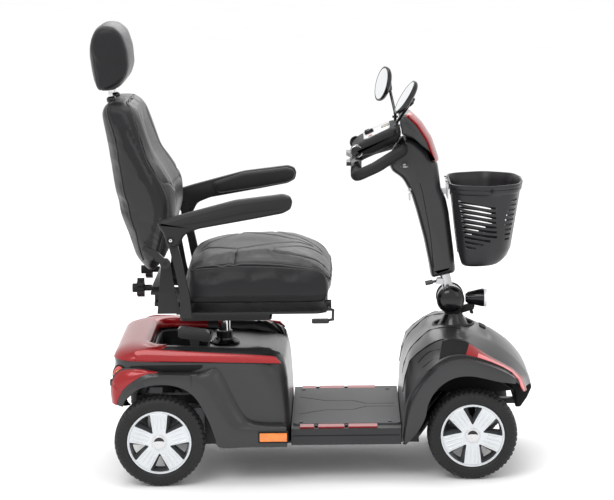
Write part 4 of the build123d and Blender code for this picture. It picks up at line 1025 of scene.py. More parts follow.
for s in (1, -1):
    side = "left" if s > 0 else "right"
    rings = [[(x, s * y, z) for x, y, z in front_flare_ring(i)] for i in range(len(FROWS[0]))]
    o = make(f"front_flare_{side}", *loft(rings, closed=False), "charcoal", smooth=34)
    solid(o, 2.2, offset=-1, smooth=34)
    place(o, "chassis", "front_fenders" if s > 0 else (), "charcoal_plastic")
    # arch liner
    rings = []
    for a in np.linspace(math.radians(46), math.radians(158), 36):
        c, d = math.cos(a), math.sin(a)
        rings.append([(457 + (r - 2) * c, s * y, 132 + (r + 2.4) * d) for r, y in ((173, 240), (176, 240), (176, 182), (163, 170), (161, 173), (173, 184))])
    o = make(f"front_arch_liner_{side}", *loft(rings), "guard")
    place(o, "chassis", (), "charcoal_plastic")
    wall = round_outline([(330, 240), (346, 296), (400, 321), (470, 325), (530, 317), (584, 293), (604, 262), (588, 232), (520, 226), (400, 226)], 8)
    o = make(f"front_arch_wall_{side}", *prism(wall, *sorted((s * 104, s * 107))), "guard")
    place(o, "chassis", (), "charcoal_plastic")
    # red accent on the shoulder, tapering at both ends, with a paler reflector strip at its lower front
    idx = range(33, 67)
    rings, rings2 = [], []
    n = len(idx)
    for k, i in enumerate(idx):
        row = sorted([Vector(q) for q in CR[i] if q[1] > 0], key=lambda q: q.y)
        st = i / 4
        A_ = Vector([np.interp(st, range(20), [c[0] for c in CB]), np.interp(st, range(20), YB), np.interp(st, range(20), [c[1] for c in CB])])
        B_ = Vector([np.interp(st, range(20), [c[0] for c in CF]), np.interp(st, range(20), YF), np.interp(st, range(20), [c[1] for c in CF])])
        u = k / (n - 1)
        lo_ = 0.02
        hi_ = 0.90 if u < 0.90 else 0.90 - (u - 0.90) * 5
        if u < 0.05:
            lo_, hi_ = lo_ + (0.05 - u) * 1.0, hi_ - (0.05 - u) * 0.6
        nor = Vector((0.12 + 0.42 * u, 0.78, 0.60 - 0.15 * u)).normalized()

        def on(t):
            q = A_.lerp(B_, t)
            w = math.sin(math.pi * max(0, min(1, t)))
            return Vector((q.x, q.y + 5.0 * w, q.z))

        seg = [on(lo_ + (hi_ - lo_) * j / 7) for j in range(8)]
        top = [q + nor * (2.4 if 0 < j < 7 else 1.2) for j, q in enumerate(seg)]
        rings.append([(q.x, s * q.y, q.z) for q in top + [q - nor * 3 for q in seg[::-1]]])
        if k >= 11:
            m0, m1 = 0.42 + 0.06 * max(0, (u - 0.6)), 0.90
            if u > 0.90:
                m1 -= (u - 0.90) * 4
            seg2 = [on(m0 + (m1 - m0) * j / 4) for j in range(5)]
            top2 = [q + nor * (3.4 if 0 < j < 4 else 2.5) for j, q in enumerate(seg2)]
            rings2.append([(q.x, s * q.y, q.z) for q in top2 + [q + nor * 1.0 for q in seg2[::-1]]])
    o = make(f"accent_panel_{side}", *loft(rings[:9]), "guard", smooth=44)
    place(o, "chassis", (), "charcoal_plastic")
    o = make(f"red_accent_{side}", *loft(rings[8:]), "red", smooth=44)
    place(o, "chassis", "front_accents" if s > 0 else (), "red_metallic")
    o = make(f"accent_reflector_{side}", *loft(rings2), "pink", smooth=44)
    place(o, "chassis", (), "lamp_plastic")
    # dark joint lines along the two creases of the cowl
    for nm, CC, YY, s0, s1 in (("outer", CB, YB, 3.0, 8.4), ("inner", CA, YA, 3.4, 9.6)):
        line = [(np.interp(st, range(20), [c[0] for c in CC]) - 0.5, s * (np.interp(st, range(20), YY) + 1.0), np.interp(st, range(20), [c[1] for c in CC]) + 1.0) for st in np.linspace(s0, s1, 34)]
        o = make(f"cowl_line_{nm}_{side}", *tube(line, 1.25, 10), "guard", smooth=80)
        place(o, "chassis", (), "charcoal_plastic")
    # four vent grooves fan out on the side of the nose behind the accent, drawn as dark strips: painted shade in the
    # grooves
    for k, pts in enumerate((((300, 345), (330, 372), (368, 384)), ((312, 333), (345, 355), (392, 362)), ((322, 322), (352, 336), (372, 339)), ((328, 312), (340, 322), (348, 326)))):
        line = smooth_line([(x, 0, z) for x, z in pts], 7)
        rings = []
        for j, (x, _, z) in enumerate(line):
            # the side surface between crease B and the edge F at this x, z
            st = min(18.9, max(5.0, np.interp(x, [c[0] for c in CB[3:16]], range(3, 16))))
            zb = np.interp(st, range(20), [c[1] for c in CB])
            zf = np.interp(st, range(20), [c[1] for c in CF])
            u = max(0, min(1, (zb - z) / max(1, zb - zf)))
            yy = np.interp(st, range(20), YB) * (1 - u) + np.interp(st, range(20), YF) * u + 5 * math.sin(math.pi * u)
            w = 2.1 * math.sin(math.pi * (0.08 + 0.84 * j / (len(line) - 1))) + 0.2
            rings.append([(x, s * (yy + 1.8), z - w), (x, s * (yy + 1.5), z + w), (x, s * (yy - 4), z + w), (x, s * (yy - 4), z - w)])
        o = make(f"vent_groove_shade_{k}_{side}", *loft(rings), "guard", smooth=60)
        place(o, "chassis", (), "charcoal_plastic")
g = [(556, 262), (592, 278), (622, 262), (638, 252), (640, 238), (627, 208), (607, 179), (592, 179), (592, 214), (584, 240)]
o = bevel(make("nose_guard", *prism(g, -104, 104), "guard"), 4, 3)
place(o, "chassis", (), "charcoal_plastic")
for s in (1, -1):
    g2 = [(560, 292), (588, 284), (612, 266), (618, 250), (604, 240), (596, 262), (560, 274)]
    o = bevel(make(f"nose_guard_side_{'left' if s > 0 else 'right'}", *prism(g2, s * 96, s * 170), "guard"), 3, 2)
    place(o, "chassis", (), "charcoal_plastic")



# ------------------------------------------------------------------ deck: dark strip along each side of the floor pan, painted shade of its moulded groove line
for s in (1, -1):
    y0, y1 = sorted((s * 266.6, s * 268.6))
    o = bevel(make(f"deck_groove_shade_line_{'left' if s > 0 else 'right'}", *block(-66, 245, y0, y1, 138.4, 141.2), "guard"), 0.4)
    place(o, "chassis", (), "charcoal_plastic")


# ------------------------------------------------------------------ tiller: shroud, cover, console, controls, handlebar, lamp
def offset_ring(outline, d):
    n = len(outline)
    area = sum(outline[i][0] * outline[(i + 1) % n][1] - outline[(i + 1) % n][0] * outline[i][1] for i in range(n))
    sgn = 1 if area > 0 else -1
    out = []
    for i in range(n):
        a, b, c = Vector(outline[i - 1]), Vector(outline[i]), Vector(outline[(i + 1) % n])
        t = (b - a).normalized() + (c - b).normalized()
        t = t.normalized() if t.length > 1e-6 else (c - b).normalized()
        out.append((b.x - t.y * sgn * d, b.y + t.x * sgn * d))
    return out


def resample(pts, step):
    p = [Vector(q) for q in pts] + [Vector(pts[0])]
    total = sum((b - a).length for a, b in zip(p[:-1], p[1:]))
    n = max(8, int(total / step))
    out, acc, target = [], 0.0, 0.0
    for a, b in zip(p[:-1], p[1:]):
        ln = (b - a).length
        while ln > 0 and target <= acc + ln + 1e-9 and len(out) < n:
            out.append(tuple(a.lerp(b, (target - acc) / ln)))
            target += total / n
        acc += ln
    return out


def soft_slab(name, outline, radii, half, drops, mat, body, rep=(), slot=None, bend=0.0, step=7, smooth=50):
    """A moulded cover: the side outline across the width, rounding off towards each side; bend moves the sides back along x."""
    out = resample(round_outline(outline, radii, 6), step)
    st = []
    for f, d in [(-f, d) for f, d in drops[::-1] if f > 0] + drops:
        st.append([(x - bend * f * f, f * half, z) for x, z in offset_ring(out, d)])
    o = make(name, *loft(st), mat, smooth=smooth)
    if body:
        place(o, body, rep, slot)
    return o


SHROUD = [(346, 556), (339, 601), (324, 678), (302, 762), (287, 811), (262, 857), (232, 878), (222, 900), (236, 945), (268, 985), (300, 975), (340, 940), (368, 900), (377, 826), (392, 791), (400, 753), (414, 638), (420, 573)]
soft_slab("tiller_shroud_cover", SHROUD, [10, 60, 90, 60, 40, 50, 24, 22, 40, 24, 30, 40, 40, 40, 40, 60, 60, 12], 50, [(0, 0), (0.35, 0.3), (0.6, 1.5), (0.76, 3.6), (0.88, 7.5), (0.95, 12), (0.985, 17), (1.0, 22)], "charcoal", "tiller", "tiller_shroud", "charcoal_plastic")
# dark strip on the soft upright crease on each side of the shroud: painted shade in the crease
for s in (1, -1):
    side = "left" if s > 0 else "right"
    line = smooth_line([(352, s * 49.0, 590), (345, s * 49.6, 680), (330, s * 49.6, 770), (318, s * 49.4, 830), (300, s * 49.0, 880)], 8)
    rings = [[(x - 1.1, y + s * 0.7, z), (x + 1.1, y + s * 0.7, z), (x + 1.1, y - s * 2, z), (x - 1.1, y - s * 2, z)] for x, y, z in line]
    o = make(f"shroud_crease_shade_{side}", *loft(rings), "guard", smooth=60)
    place(o, "tiller", (), "charcoal_plastic")
COVER = [(268, 1008), (262, 1046), (280, 1056), (292, 1052), (322, 1022), (351, 976), (370, 919), (373, 905), (346, 942), (304, 979), (270, 991)]
soft_slab("tiller_lens_cover", COVER, [8, 8, 8, 8, 60, 60, 20, 3, 30, 30, 8], 92, [(0, 0), (0.4, 0.3), (0.7, 1.2), (0.86, 3), (0.94, 5.5), (0.98, 8), (1.0, 10)], "dash_grey", None, bend=16)
cov = bpy.data.objects["tiller_lens_cover"]
cov.data.materials.append(M["red"])
for p in cov.data.polygons:
    c = p.center * 1000.0
    if p.normal.x > 0.28 and abs(c.y) < 84 and c.z > 908:
        p.material_index = 1
place(cov, "tiller", "tiller_front_cover", "red_metallic")
rim_all = resample(round_outline(COVER, [8, 8, 8, 8, 60, 60, 20, 3, 30, 30, 8], 6), 7)
for s in (1, -1):
    edge = [(x, z) for x, z in offset_ring(rim_all, 1.6)]
    outer_ = [q for q in edge if q[0] > 286 and q[1] > 915 + 0 * q[0] and (q[1] - 905) * (286 - 373) - (q[0] - 373) * (1052 - 905) < -60]
    pts = sorted(((x - 16 * 0.82, s * 84, z) for x, z in outer_), key=lambda q: -q[2])
    o = make(f"lens_rim_{'left' if s > 0 else 'right'}", *tube(pts, 2.4, 10), "red", smooth=80)
    place(o, "tiller", (), "red_metallic")

# console: the charcoal body, a pale top panel with a gauge, and side caps
DASH = [(120, 930), (113, 950), (137, 974), (193, 1000), (240, 1020), (262, 1000), (250, 972), (176, 937)]
soft_slab("console_body", DASH, [12, 14, 20, 60, 14, 14, 20, 40], 118, [(0, 0), (0.5, 0.2), (0.76, 1.2), (0.88, 4), (0.94, 8), (0.975, 13), (1.0, 20)], "guard", "tiller", "dash_console", "charcoal_plastic")
PX, PZ = Vector((math.cos(math.radians(24)), 0, math.sin(math.radians(24)))), Vector((-math.sin(math.radians(24)), 0, math.cos(math.radians(24))))


def dash_part(part, u, y, up_=0.0):
    """Places a part made about the origin on the sloping dash: u is along the slope, measured as x in the row frame at the surface line."""
    o = Vector((u, y, 0))
    z = np.interp(u, [137, 193, 240], [974, 1000, 1020])
    slope = math.atan2(23, 52)
    mm_ = Matrix.Translation((u, y, z)) @ Matrix.Rotation(-slope, 4, "Y") @ Matrix.Translation((0, 0, up_))
    return xf(part, mm_)


o = bevel(make("dash_panel", *dash_part(extrude_xy(round_outline([(-44, -92), (40, -84), (40, 84), (-44, 92)], 12), -3, 1.6), 190, 0), "dash_silver"), 0.9)
place(o, "tiller", (), "charcoal_plastic")
o = bevel(make("dash_gauge", *dash_part(extrude_xy(round_outline([(-13, -26), (13, -26), (13, 26), (-13, 26)], 5), 0, 3.0), 214, 0), "gloss_black"), 0.9)
place(o, "tiller", (), "charcoal_plastic")
for k in range(5):
    o = bevel(make(f"gauge_light_{k}", *dash_part(extrude_xy(round_outline([(-2.4, -2.6), (2.4, -2.6), (2.4, 2.6), (-2.4, 2.6)], 1), 2.5, 3.9), 214, -18 + 9 * k), "amber" if k < 1 else "yellow_dot"), 0.4)
    place(o, "tiller", (), "lamp_plastic")
# speed dial with a grip-edged skirt and a pointer rib
z = np.interp(168, [137, 193, 240], [974, 1000, 1020])
at = Matrix.Translation((168, 0, 988.4)) @ Matrix.Rotation(math.radians(-24), 4, "Y")
prof = [(0.01, 0), (15, 0), (15.2, 2.5), (13.4, 3.4), (12.6, 9.5), (11.4, 11.6), (9.5, 12.2), (0.01, 12.0)]
dial = lathe(prof, 64, closed=False, axis="Z")
ribs_ = []
for k in range(24):
    a = math.radians(15 * k)
    ribs_.append(xf(block(12.2, 13.9, -0.7, 0.7, 3.2, 10.2), Matrix.Rotation(a, 4, "Z")))
ribs_.append(block(-11, 3, -1.3, 1.3, 11.5, 14.0))
o = make("speed_dial_knob", *xf(cat(dial, *ribs_), at), "gloss_black")
place(o, "speed_dial", "speed_dial", "gloss_black")
o = bevel(make("dial_mark", *xf(block(-10.6, -4, -0.55, 0.55, 13.9, 14.35), at), "dash_silver"), 0.15)
place(o, "speed_dial", (), "gloss_black")
for k in range(9):
    a = math.radians(-50 - 32.5 * k)
    o = bevel(make(f"dial_tick_{k}", *xf(block(17.2, 20.4, -0.5, 0.5, -0.2, 2.0), at @ Matrix.Rotation(a, 4, "Z")), "guard"), 0.2)
    place(o, "tiller", (), "charcoal_plastic")
# end caps with a ring on the rear corners of the console
for s in (1, -1):
    side = "left" if s > 0 else "right"
    rot = Matrix.Translation((128, s * 104, 949)) @ (Matrix.Identity(4) if s > 0 else Matrix.Rotation(math.pi, 4, "Z"))
    o = make(f"console_cap_{side}", *xf(lathe([(0.01, 13.6), (9, 13.4), (13, 12.2), (14.6, 9.8), (15.2, 8.8), (17.6, 9.6), (18.8, 7.4), (19, -6), (0.01, -6)], 56, closed=False), rot), "gloss_black")
    place(o, "tiller", (), "charcoal_plastic")
    o = make(f"console_cap_ring_{side}", *xf(lathe([(15.0, 9.2), (16.2, 10.6), (17.6, 9.8), (17.4, 8.4)], 56), rot), "steel")
    place(o, "tiller", (), "bright_steel")

# delta handlebar: one closed bar with grooved grips along its sides
loop_uv = round_outline([(0, -205), (62, -205), (146, -110), (146, 110), (62, 205), (0, 205)], 26, 7)
O = Vector((127, 0, 890))
pts = [tuple(O + PX * u + Vector((0, v_, 0))) for u, v_ in resample(loop_uv, 8)]
o = make("handlebar_loop", *tube(pts, 16.4, 24, closed=True), "grip", smooth=80)
place(o, "tiller", "delta_handlebar", "grip_rubber")
parts = []
dense = [Vector(q) for q in [tuple(O + PX * u + Vector((0, v_, 0))) for u, v_ in resample(loop_uv, 3)]]
for i in range(0, len(dense), 2):
    q = dense[i]
    if abs(q.y) < 78:
        continue
    t = (dense[(i + 1) % len(dense)] - dense[i - 1]).normalized()
    rot = t.to_track_quat("Y", "Z").to_matrix().to_4x4()
    parts.append(xf(lathe([(16.2, -1.1), (17.0, -0.6), (17.0, 0.6), (16.2, 1.1)], 24), Matrix.Translation(q) @ rot))
o = make("handlebar_grip_rings", *cat(*parts), "grip", smooth=80)
place(o, "tiller", (), "grip_rubber")

# tilt joint: smooth dome, toothed ring, ribbed cone boot
for s in (1, -1):
    side = "left" if s > 0 else "right"
    rot = Matrix.Translation((404, 0, 492)) @ (Matrix.Identity(4) if s > 0 else Matrix.Rotation(math.pi, 4, "Z"))
    o = make(f"tilt_dome_{side}", *xf(lathe([(0.01, 28.5), (41.3, 28.5), (41.5, 34), (38.6, 36), (37.6, 36.4), (36.4, 37.2), (33.6, 41), (28.6, 44.8), (22, 47.6), (13, 49.7), (6, 50.3), (0.01, 50.4)], 72, closed=False), rot), "gloss_black", smooth=50)
    place(o, "steering", "tilt_joint_housing" if s > 0 else (), "gloss_black")
    teeth = []
    for k in range(36):
        teeth.append(xf(block(37.2, 40.6, 33, 37.4, -1.2, 1.2), rot @ Matrix.Rotation(math.radians(10 * k), 4, "Y")))
    o = make(f"tilt_teeth_{side}", *cat(*teeth), "matt_black")
    place(o, "steering", (), "gloss_black")
boot = [(21, 446), (27.4, 449.5), (28.6, 446), (28.2, 442), (31.4, 438), (31.6, 434.5), (35.4, 430), (35.8, 426.5), (40.4, 421.5), (41.0, 418), (46.4, 413), (49.6, 409.6), (50, 407.6), (47, 407.4), (21, 412)]
o = make("column_boot", *lathe(boot, 72, axis="Z", at=(413, 0, 0)), "gloss_black", smooth=50)
place(o, "steering", (), "gloss_black")
o = bevel(make("tilt_yoke", *prism(round_outline([(392, 446), (434, 446), (440, 470), (438, 500), (425, 520), (392, 522), (372, 505), (372, 470)], 10), -28.2, 28.2), "matt_black"), 2)
cut(o, make("tool", *block(340, 460, -27.9, 27.9, 452, 540), "matt_black"))
place(o, "steering", (), "gloss_black")

# headlight: ribbed cone, bezel, clear lens with rings on it, stalk and clip
rotx = Matrix.Translation((0, 0, 491))
shell_ = lathe([(0.01, 449), (10, 449.4), (14, 451), (15.4, 456), (20.0, 476), (24.6, 494), (26.2, 501.5), (27.0, 503.6), (26.6, 504.6), (0.01, 504.6)], 64, closed=False, axis="X", at=(0, 0, 491))
fins = []
for k in range(18):
    a = math.radians(20 * k)
    blade = [(454, 14.5), (500, 25.0), (503, 26.9), (500, 27.3), (456, 17.4)]
    v0 = [(x, -0.9, r) for x, r in blade] + [(x, 0.9, r) for x, r in blade]
    f0 = [tuple(range(5)), tuple(range(9, 4, -1))] + [(i, (i + 1) % 5, 5 + (i + 1) % 5, 5 + i) for i in range(5)]
    fins.append(xf((v0, f0), Matrix.Translation((0, 0, 491)) @ Matrix.Rotation(a, 4, "X")))
o = make("headlight_shell", *cat(shell_, *fins), "gloss_black", smooth=45)
place(o, "steering", "headlight", "gloss_black")
o = make("headlight_lens", *lathe([(0.01, 516.4), (10, 516.2), (19, 515.6), (25.2, 514.2), (27.2, 512.2), (27.8, 509), (27.6, 505.2), (26.4, 504.4), (0.01, 504.4)], 64, closed=False, axis="X", at=(0, 0, 491)), "lens")
place(o, "steering", (), "lamp_plastic")
for r in (7, 13, 19):
    o = make(f"headlight_ring_{r}", *lathe([(r - 0.9, 515.0), (r, 517.4 - r * 0.05), (r + 0.9, 515.0)], 48, axis="X", at=(0, 0, 491)), "lens")
    place(o, "steering", (), "lamp_plastic")
o = bevel(make("headlight_bracket", *cat(prism(round_outline([(430, 452), (440, 446), (474, 456), (478, 468), (470, 473), (456, 472), (436, 466)], 4), -8, 8), prism(round_outline([(462, 446), (470, 441), (474, 446), (470, 458), (464, 458)], 2), -5, 5)), "matt_black"), 1.0)
place(o, "steering", (), "gloss_black")


# ------------------------------------------------------------------ basket and mirrors
def basket_ring(z, d=0.0):
    """Plan of the basket at height z, mm, drawn in by d: a flat back, bowed sides and a round nose."""
    t = (z - 602) / 248.0
    low = max(0.0, (650 - z) / 48.0)
    x0 = 430 - 28 * t + 6 * low ** 2 + d
    x1 = 575 + 39 * t - 26 * low ** 2 - d
    w0 = 108 + 20 * t - 5 * low ** 2 - d
    w1 = 112 + 52 * t - 8 * low ** 2 - d
    xm = x0 + (x1 - x0) * 0.52
    n = 60 + 32 * t - 4 * low ** 2 - d
    out = round_outline([(x0, -w0), (xm, -w1), (x1 - 16, -(n + 26)), (x1, -n * 0.45), (x1, n * 0.45), (x1 - 16, n + 26), (xm, w1), (x0, w0)], 60, 9)
    return out


def ring3(z, d=0.0):
    return [(x, y, z) for x, y in resample(basket_ring(z, d), 8)]


def basket_same(z, d, n):
    pts = basket_ring(z, d)
    p = [Vector(q) for q in pts] + [Vector(pts[0])]
    total = sum((b - a).length for a, b in zip(p[:-1], p[1:]))
    out, acc, k = [], 0.0, 0
    for a, b in zip(p[:-1], p[1:]):
        ln = (b - a).length
        while k < n and k * total / n <= acc + ln + 1e-6:
            out.append(tuple(a.lerp(b, (k * total / n - acc) / ln if ln > 0 else 0)))
            k += 1
        acc += ln
    return [(x, y, z) for x, y in out[:n]]


N = 120
outer = [(602.4, 10), (603.2, 5), (606, 1.5), (612, 0.2), (625, 0), (650, 0), (700, 0), (760, 0), (812, 0)]
band = [(820, 0), (822.5, -2.2), (825, -3.4), (834, -3.6), (835.4, -2.4), (837, -3.6), (847, -3.8), (849.2, -3.0), (850, -1.4), (849.6, 0.8), (848, 1.8)]
inner = [(824, 2.6), (760, 2.6), (650, 2.6), (612, 3.0), (607, 6.0), (605.4, 11)]
rings = [basket_same(z, d, N) for z, d in outer + band + inner]
o = make("basket_tub", *loft(rings, caps=(True, True)), "basket", smooth=42)
tools = []
for k in range(10):
    z = 799 - 15.0 * k
    x0 = 424 + 2.4 * k
    x1 = 531 + 1.0 * k if k < 7 else 531 + 7 - 21 * (k - 6)
    drop = -0.17
    for s in (1, -1):
        h = 3.8
        pts = [(x0, z - h), (x0, z + h), (x1, z + h + (x1 - x0) * drop), (x1, z - h + (x1 - x0) * drop)]
        tools.append(prism(pts, 60 * s, 190 * s) if s > 0 else prism(pts, -190, -60))
for k in range(9):
    z = 800 - 14.6 * k
    for s in (1, -1):
        tools.append(block(560, 640, min(s * 80, s * 116), max(s * 80, s * 116), z - 3.4, z + 3.4))
for tl in tools:
    cut(o, make("tool", *tl, "basket"))
place(o, "basket", "basket", "basket_black")
# rim screws, upper back bar with its two hook plates
for s in (1, -1):
    xs = 520
    side = [q for q in basket_ring(834, -3.6) if q[1] * s > 0]
    yy = max(abs(q[1]) for q in side)
    rot = Matrix.Translation((xs, s * (yy - 0.6), 834)) @ (Matrix.Identity(4) if s > 0 else Matrix.Rotation(math.pi, 4, "Z"))
    o = make(f"basket_screw_{'left' if s > 0 else 'right'}", *xf(lathe([(0.01, 1.4), (1.4, 1.4), (2.0, 2.6), (4.4, 2.2), (5.6, 0.6), (5.8, -3), (0.01, -3)], 28, closed=False), rot), "screw")
    place(o, "basket", (), "basket_black")
hook = []
for s in (1, -1):
    line = [(404, 812), (404, 842), (398.6, 851), (390, 851.6), (389, 849.4), (397, 848.6), (401.4, 841), (401.4, 812)]
    a, b = sorted((s * 40, s * 60))
    hook.append(prism(line, a, b))
o = bevel(make("basket_hooks", *cat(*hook), "basket"), 0.5)
place(o, "basket", (), "basket_black")
o = make("basket_back_wire", *tube(smooth_line([(404.6 + 3, -30, 822), (411, -30, 760), (417, -30, 700), (425, -30, 634)], 6), 1.4, 10), "steel", smooth=80)
place(o, "basket", (), "basket_black")

# mirrors: a deep rounded shell with a lip around the glass, a socket and a ribbed collar
for name, c, n in (("right", (266, -196, 1118), (0.83, 0.16, -0.53)), ("left", (206, 192, 1116), (0.90, 0.36, -0.24))):
    n = Vector(n).normalized()
    up_ = Vector((-n.z, 0, n.x)).normalized()
    sd = n.cross(up_).normalized()
    basis = Matrix(((sd.x, n.x, up_.x, c[0]), (sd.y, n.y, up_.y, c[1]), (sd.z, n.z, up_.z, c[2]), (0, 0, 0, 1)))
    prof = [(0.01, 3.2), (46.3, 3.2), (46.5, 0.8), (50.0, -0.4), (53.0, 0.6), (54.0, 3.4), (53.6, 7), (51.2, 12), (46, 16), (36, 19), (22, 20.6), (8, 21), (0.01, 21)]
    v0, f0 = lathe(prof, 80, closed=False)
    v0 = [(x * 44 / 54, y, z_) for x, y, z_ in v0]
    e = Vector(c) + n * 26
    ball = lathe([(0.01, -11.6), (5, -10.6), (9, -7.6), (11.2, -3), (11.6, 1), (10.4, 5), (10.4, 8), (0.01, 8)], 32, closed=False, axis="Y")
    to = (Vector((246, (-1 if name == "right" else 1) * 112, 1034)) - e).normalized()
    q = to.to_track_quat("Y", "Z").to_matrix().to_4x4()
    collar = [(0.01, 4)]
    for k in range(4):
        collar += [(7.6 - 0.3 * k, 5 + 4 * k), (8.4 - 0.5 * k, 6 + 4 * k), (8.4 - 0.5 * k, 7.6 + 4 * k), (6.6 - 0.3 * k, 8.6 + 4 * k)]
    collar += [(4.4, 22), (0.01, 22)]
    neck = lathe(collar, 32, closed=False)
    o = make(f"mirror_shell_{name}", *cat(xf((v0, f0), basis), xf(ball, basis @ Matrix.Translation((0, 22, 0))), xf(neck, Matrix.Translation(e) @ q)), "gloss_black", smooth=50)
    place(o, f"{name}_mirror", f"{name}_mirror", "gloss_black")


from mathutils import noise
from mathutils.bvhtree import BVHTree
from mathutils.kdtree import KDTree


# ------------------------------------------------------------------ seat: cushions are inflated by cloth simulation, then seamed and piped
def remesh(o, size):
    r = o.modifiers.new("remesh", "REMESH")
    r.mode = "VOXEL"
    r.voxel_size = size * 0.001
    r.use_smooth_shade = True
    apply_mods(o)
    s = o.modifiers.new("sm", "SMOOTH")
    s.factor = 0.5
    s.iterations = 4
    return apply_mods(o)


def inflate(o, pressure=4.0, cap=9.0, frames_n=20, pin=None):
    """Swells a closed mesh with Cloth pressure; each point moves at most cap mm, and the points that pin picks stay."""
    rest = np.array([v_.co for v_ in o.data.vertices])
    if pin is not None:
        g = o.vertex_groups.new(name="pin")
        for v_ in o.data.vertices:
            w = pin(v_.co * 1000)
            if w > 0:
                g.add([v_.index], w, "REPLACE")
    c = o.modifiers.new("cloth", "CLOTH")
    st = c.settings
    st.quality = 5
    st.mass = 0.3
    st.use_pressure = True
    st.uniform_pressure_force = pressure
    st.tension_stiffness = 22
    st.compression_stiffness = 22
    st.shear_stiffness = 10
    st.bending_stiffness = 1.2
    st.effector_weights.gravity = 0
    if pin is not None:
        st.vertex_group_mass = "pin"
    c.collision_settings.use_self_collision = False
    c.collision_settings.use_collision = False
    scene.frame_start, scene.frame_end = 1, frames_n
    for f in range(1, frames_n + 1):
        scene.frame_set(f)
    dg = bpy.context.evaluated_depsgraph_get()
    me = o.evaluated_get(dg).data
    new = np.array([v_.co for v_ in me.vertices])
    o.modifiers.clear()
    scene.frame_set(1)
    d = new - rest
    ln = np.linalg.norm(d, axis=1)
    k = np.minimum(1, cap * 0.001 / np.maximum(ln, 1e-9))
    new = rest + d * k[:, None]
    o.data.vertices.foreach_set("co", new.ravel())
    o.data.update()
    s = o.modifiers.new("sm", "SMOOTH")
    s.factor = 0.5
    s.iterations = 3
    apply_mods(o)
    return o


def groove(o, lines, width=5.0, depth=2.6):
    """Presses sewn lines into a cushion: points near a line sink along their normal."""
    TREES.pop(o.name, None)
    me = o.data
    co = np.array([v_.co for v_ in me.vertices]) * 1000
    no = np.array([v_.normal for v_ in me.vertices])
    pts = [q for line in lines for q in even([tuple(a) for a in line], 2.0)]
    kd = KDTree(len(pts))
    for i, q in enumerate(pts):
        kd.insert(q, i)
    kd.balance()
    off = np.zeros(len(co))
    for i, c in enumerate(co):
        d = kd.find(c)[2]
        if d < width * 2.6:
            off[i] = depth * math.exp(-(d / width) ** 2)
    co -= no * off[:, None]
    me.vertices.foreach_set("co", (co * 0.001).ravel())
    me.update()


TREES = {}


def on_surface(o, pts, lift=0.6):
    """Drops points onto the mesh: the nearest surface point, lifted along the normal."""
    if o.name not in TREES:
        me = o.data
        co = np.empty(len(me.vertices) * 3)
        me.vertices.foreach_get("co", co)
        me.calc_loop_triangles()
        tri = np.empty(len(me.loop_triangles) * 3, dtype=np.int32)
        me.loop_triangles.foreach_get("vertices", tri)
        TREES[o.name] = BVHTree.FromPolygons((co.reshape(-1, 3) * 1000).tolist(), tri.reshape(-1, 3).tolist())
    tree = TREES[o.name]
    out = []
    for q in pts:
        hit = tree.find_nearest(Vector(q))
        out.append(Vector(q) if hit[0] is None else hit[0] + hit[1] * lift)
    return out


def even(points, step):
    p = [Vector(q) for q in points]
    out = [p[0].copy()]
    acc = 0.0
    for a, b in zip(p[:-1], p[1:]):
        ln = (b - a).length
        if ln < 1e-9:
            continue
        while acc + ln >= step:
            t = (step - acc) / ln
            a = a.lerp(b, t)
            out.append(a.copy())
            ln = (b - a).length
            acc = 0.0
        acc += ln
    return out


def stitches(name, o, line, body, length=5.0, gap=2.2, r=0.55, lift=0.35, offset=0.0):
    """A row of thread stitches along a line on the cushion."""
    pts = even(line, 1.5)
    pts = on_surface(o, pts, lift)
    parts = []
    path = even(pts, length + gap)
    n = len(pts)
    dense = even(pts, 0.5)
    step = int((length + gap) / 0.5)
    seg = int(length / 0.5)
    for i in range(0, len(dense) - seg - 1, step):
        a, m_, b = dense[i], dense[i + seg // 2], dense[i + seg]
        d = (b - a)
        if d.length < length * 0.4:
            continue
        parts.append(tube([a - d * 0.02, a.lerp(m_, 0.5), m_, m_.lerp(b, 0.5), b + d * 0.02], [r * 0.5, r, r, r, r * 0.5], 6))
    if not parts:
        return None
    s = make(name, *cat(*parts), "thread", smooth=80)
    place(s, body, (), "seat_vinyl")
    return s


def piping(name, o, line, body, r=3.2, mat="piping", lift=0.5, smooth_pts=True):
    pts = on_surface(o, even(line, 6.0), lift)
    pts = [tuple(q) for q in pts]
    for _ in range(2):
        q = [Vector(p) for p in pts]
        q = [q[0]] + [(q[i - 1] + q[i] * 2 + q[i + 1]) / 4 for i in range(1, len(q) - 1)] + [q[-1]]
        pts = [tuple(p) for p in q]
    s = make(name, *tube(pts, r, 12), mat, smooth=80)
    place(s, body, (), "seat_vinyl")
    return s


def wrinkle(o, amount, scale, seed=0):
    """Slow, shallow unevenness of stuffed vinyl, along the normals."""
    TREES.pop(o.name, None)
    me = o.data
    co = np.array([v_.co for v_ in me.vertices])
    no = np.array([v_.normal for v_ in me.vertices])
    n = np.array([noise.noise(Vector(c * scale + (seed, 0, 0))) for c in co])
    co += no * (n * amount * 0.001)[:, None]
    me.vertices.foreach_set("co", co.ravel())
    me.update()


def section_loft(name, stations, mat):
    """A closed pad through y stations: each (y, outline in x, z); all outlines have the same count. The ends close to a fan."""
    rings = [[(x, y, z) for x, z in out] for y, out in stations]
    return make(name, *loft(rings), mat, smooth=60)


def shrink(outline, k, dx=0.0, dz=0.0, about=None):
    cx = sum(p[0] for p in outline) / len(outline) if about is None else about[0]
    cz = sum(p[1] for p in outline) / len(outline) if about is None else about[1]
    return [(cx + (x - cx) * k + dx, cz + (z - cz) * k + dz) for x, z in outline]


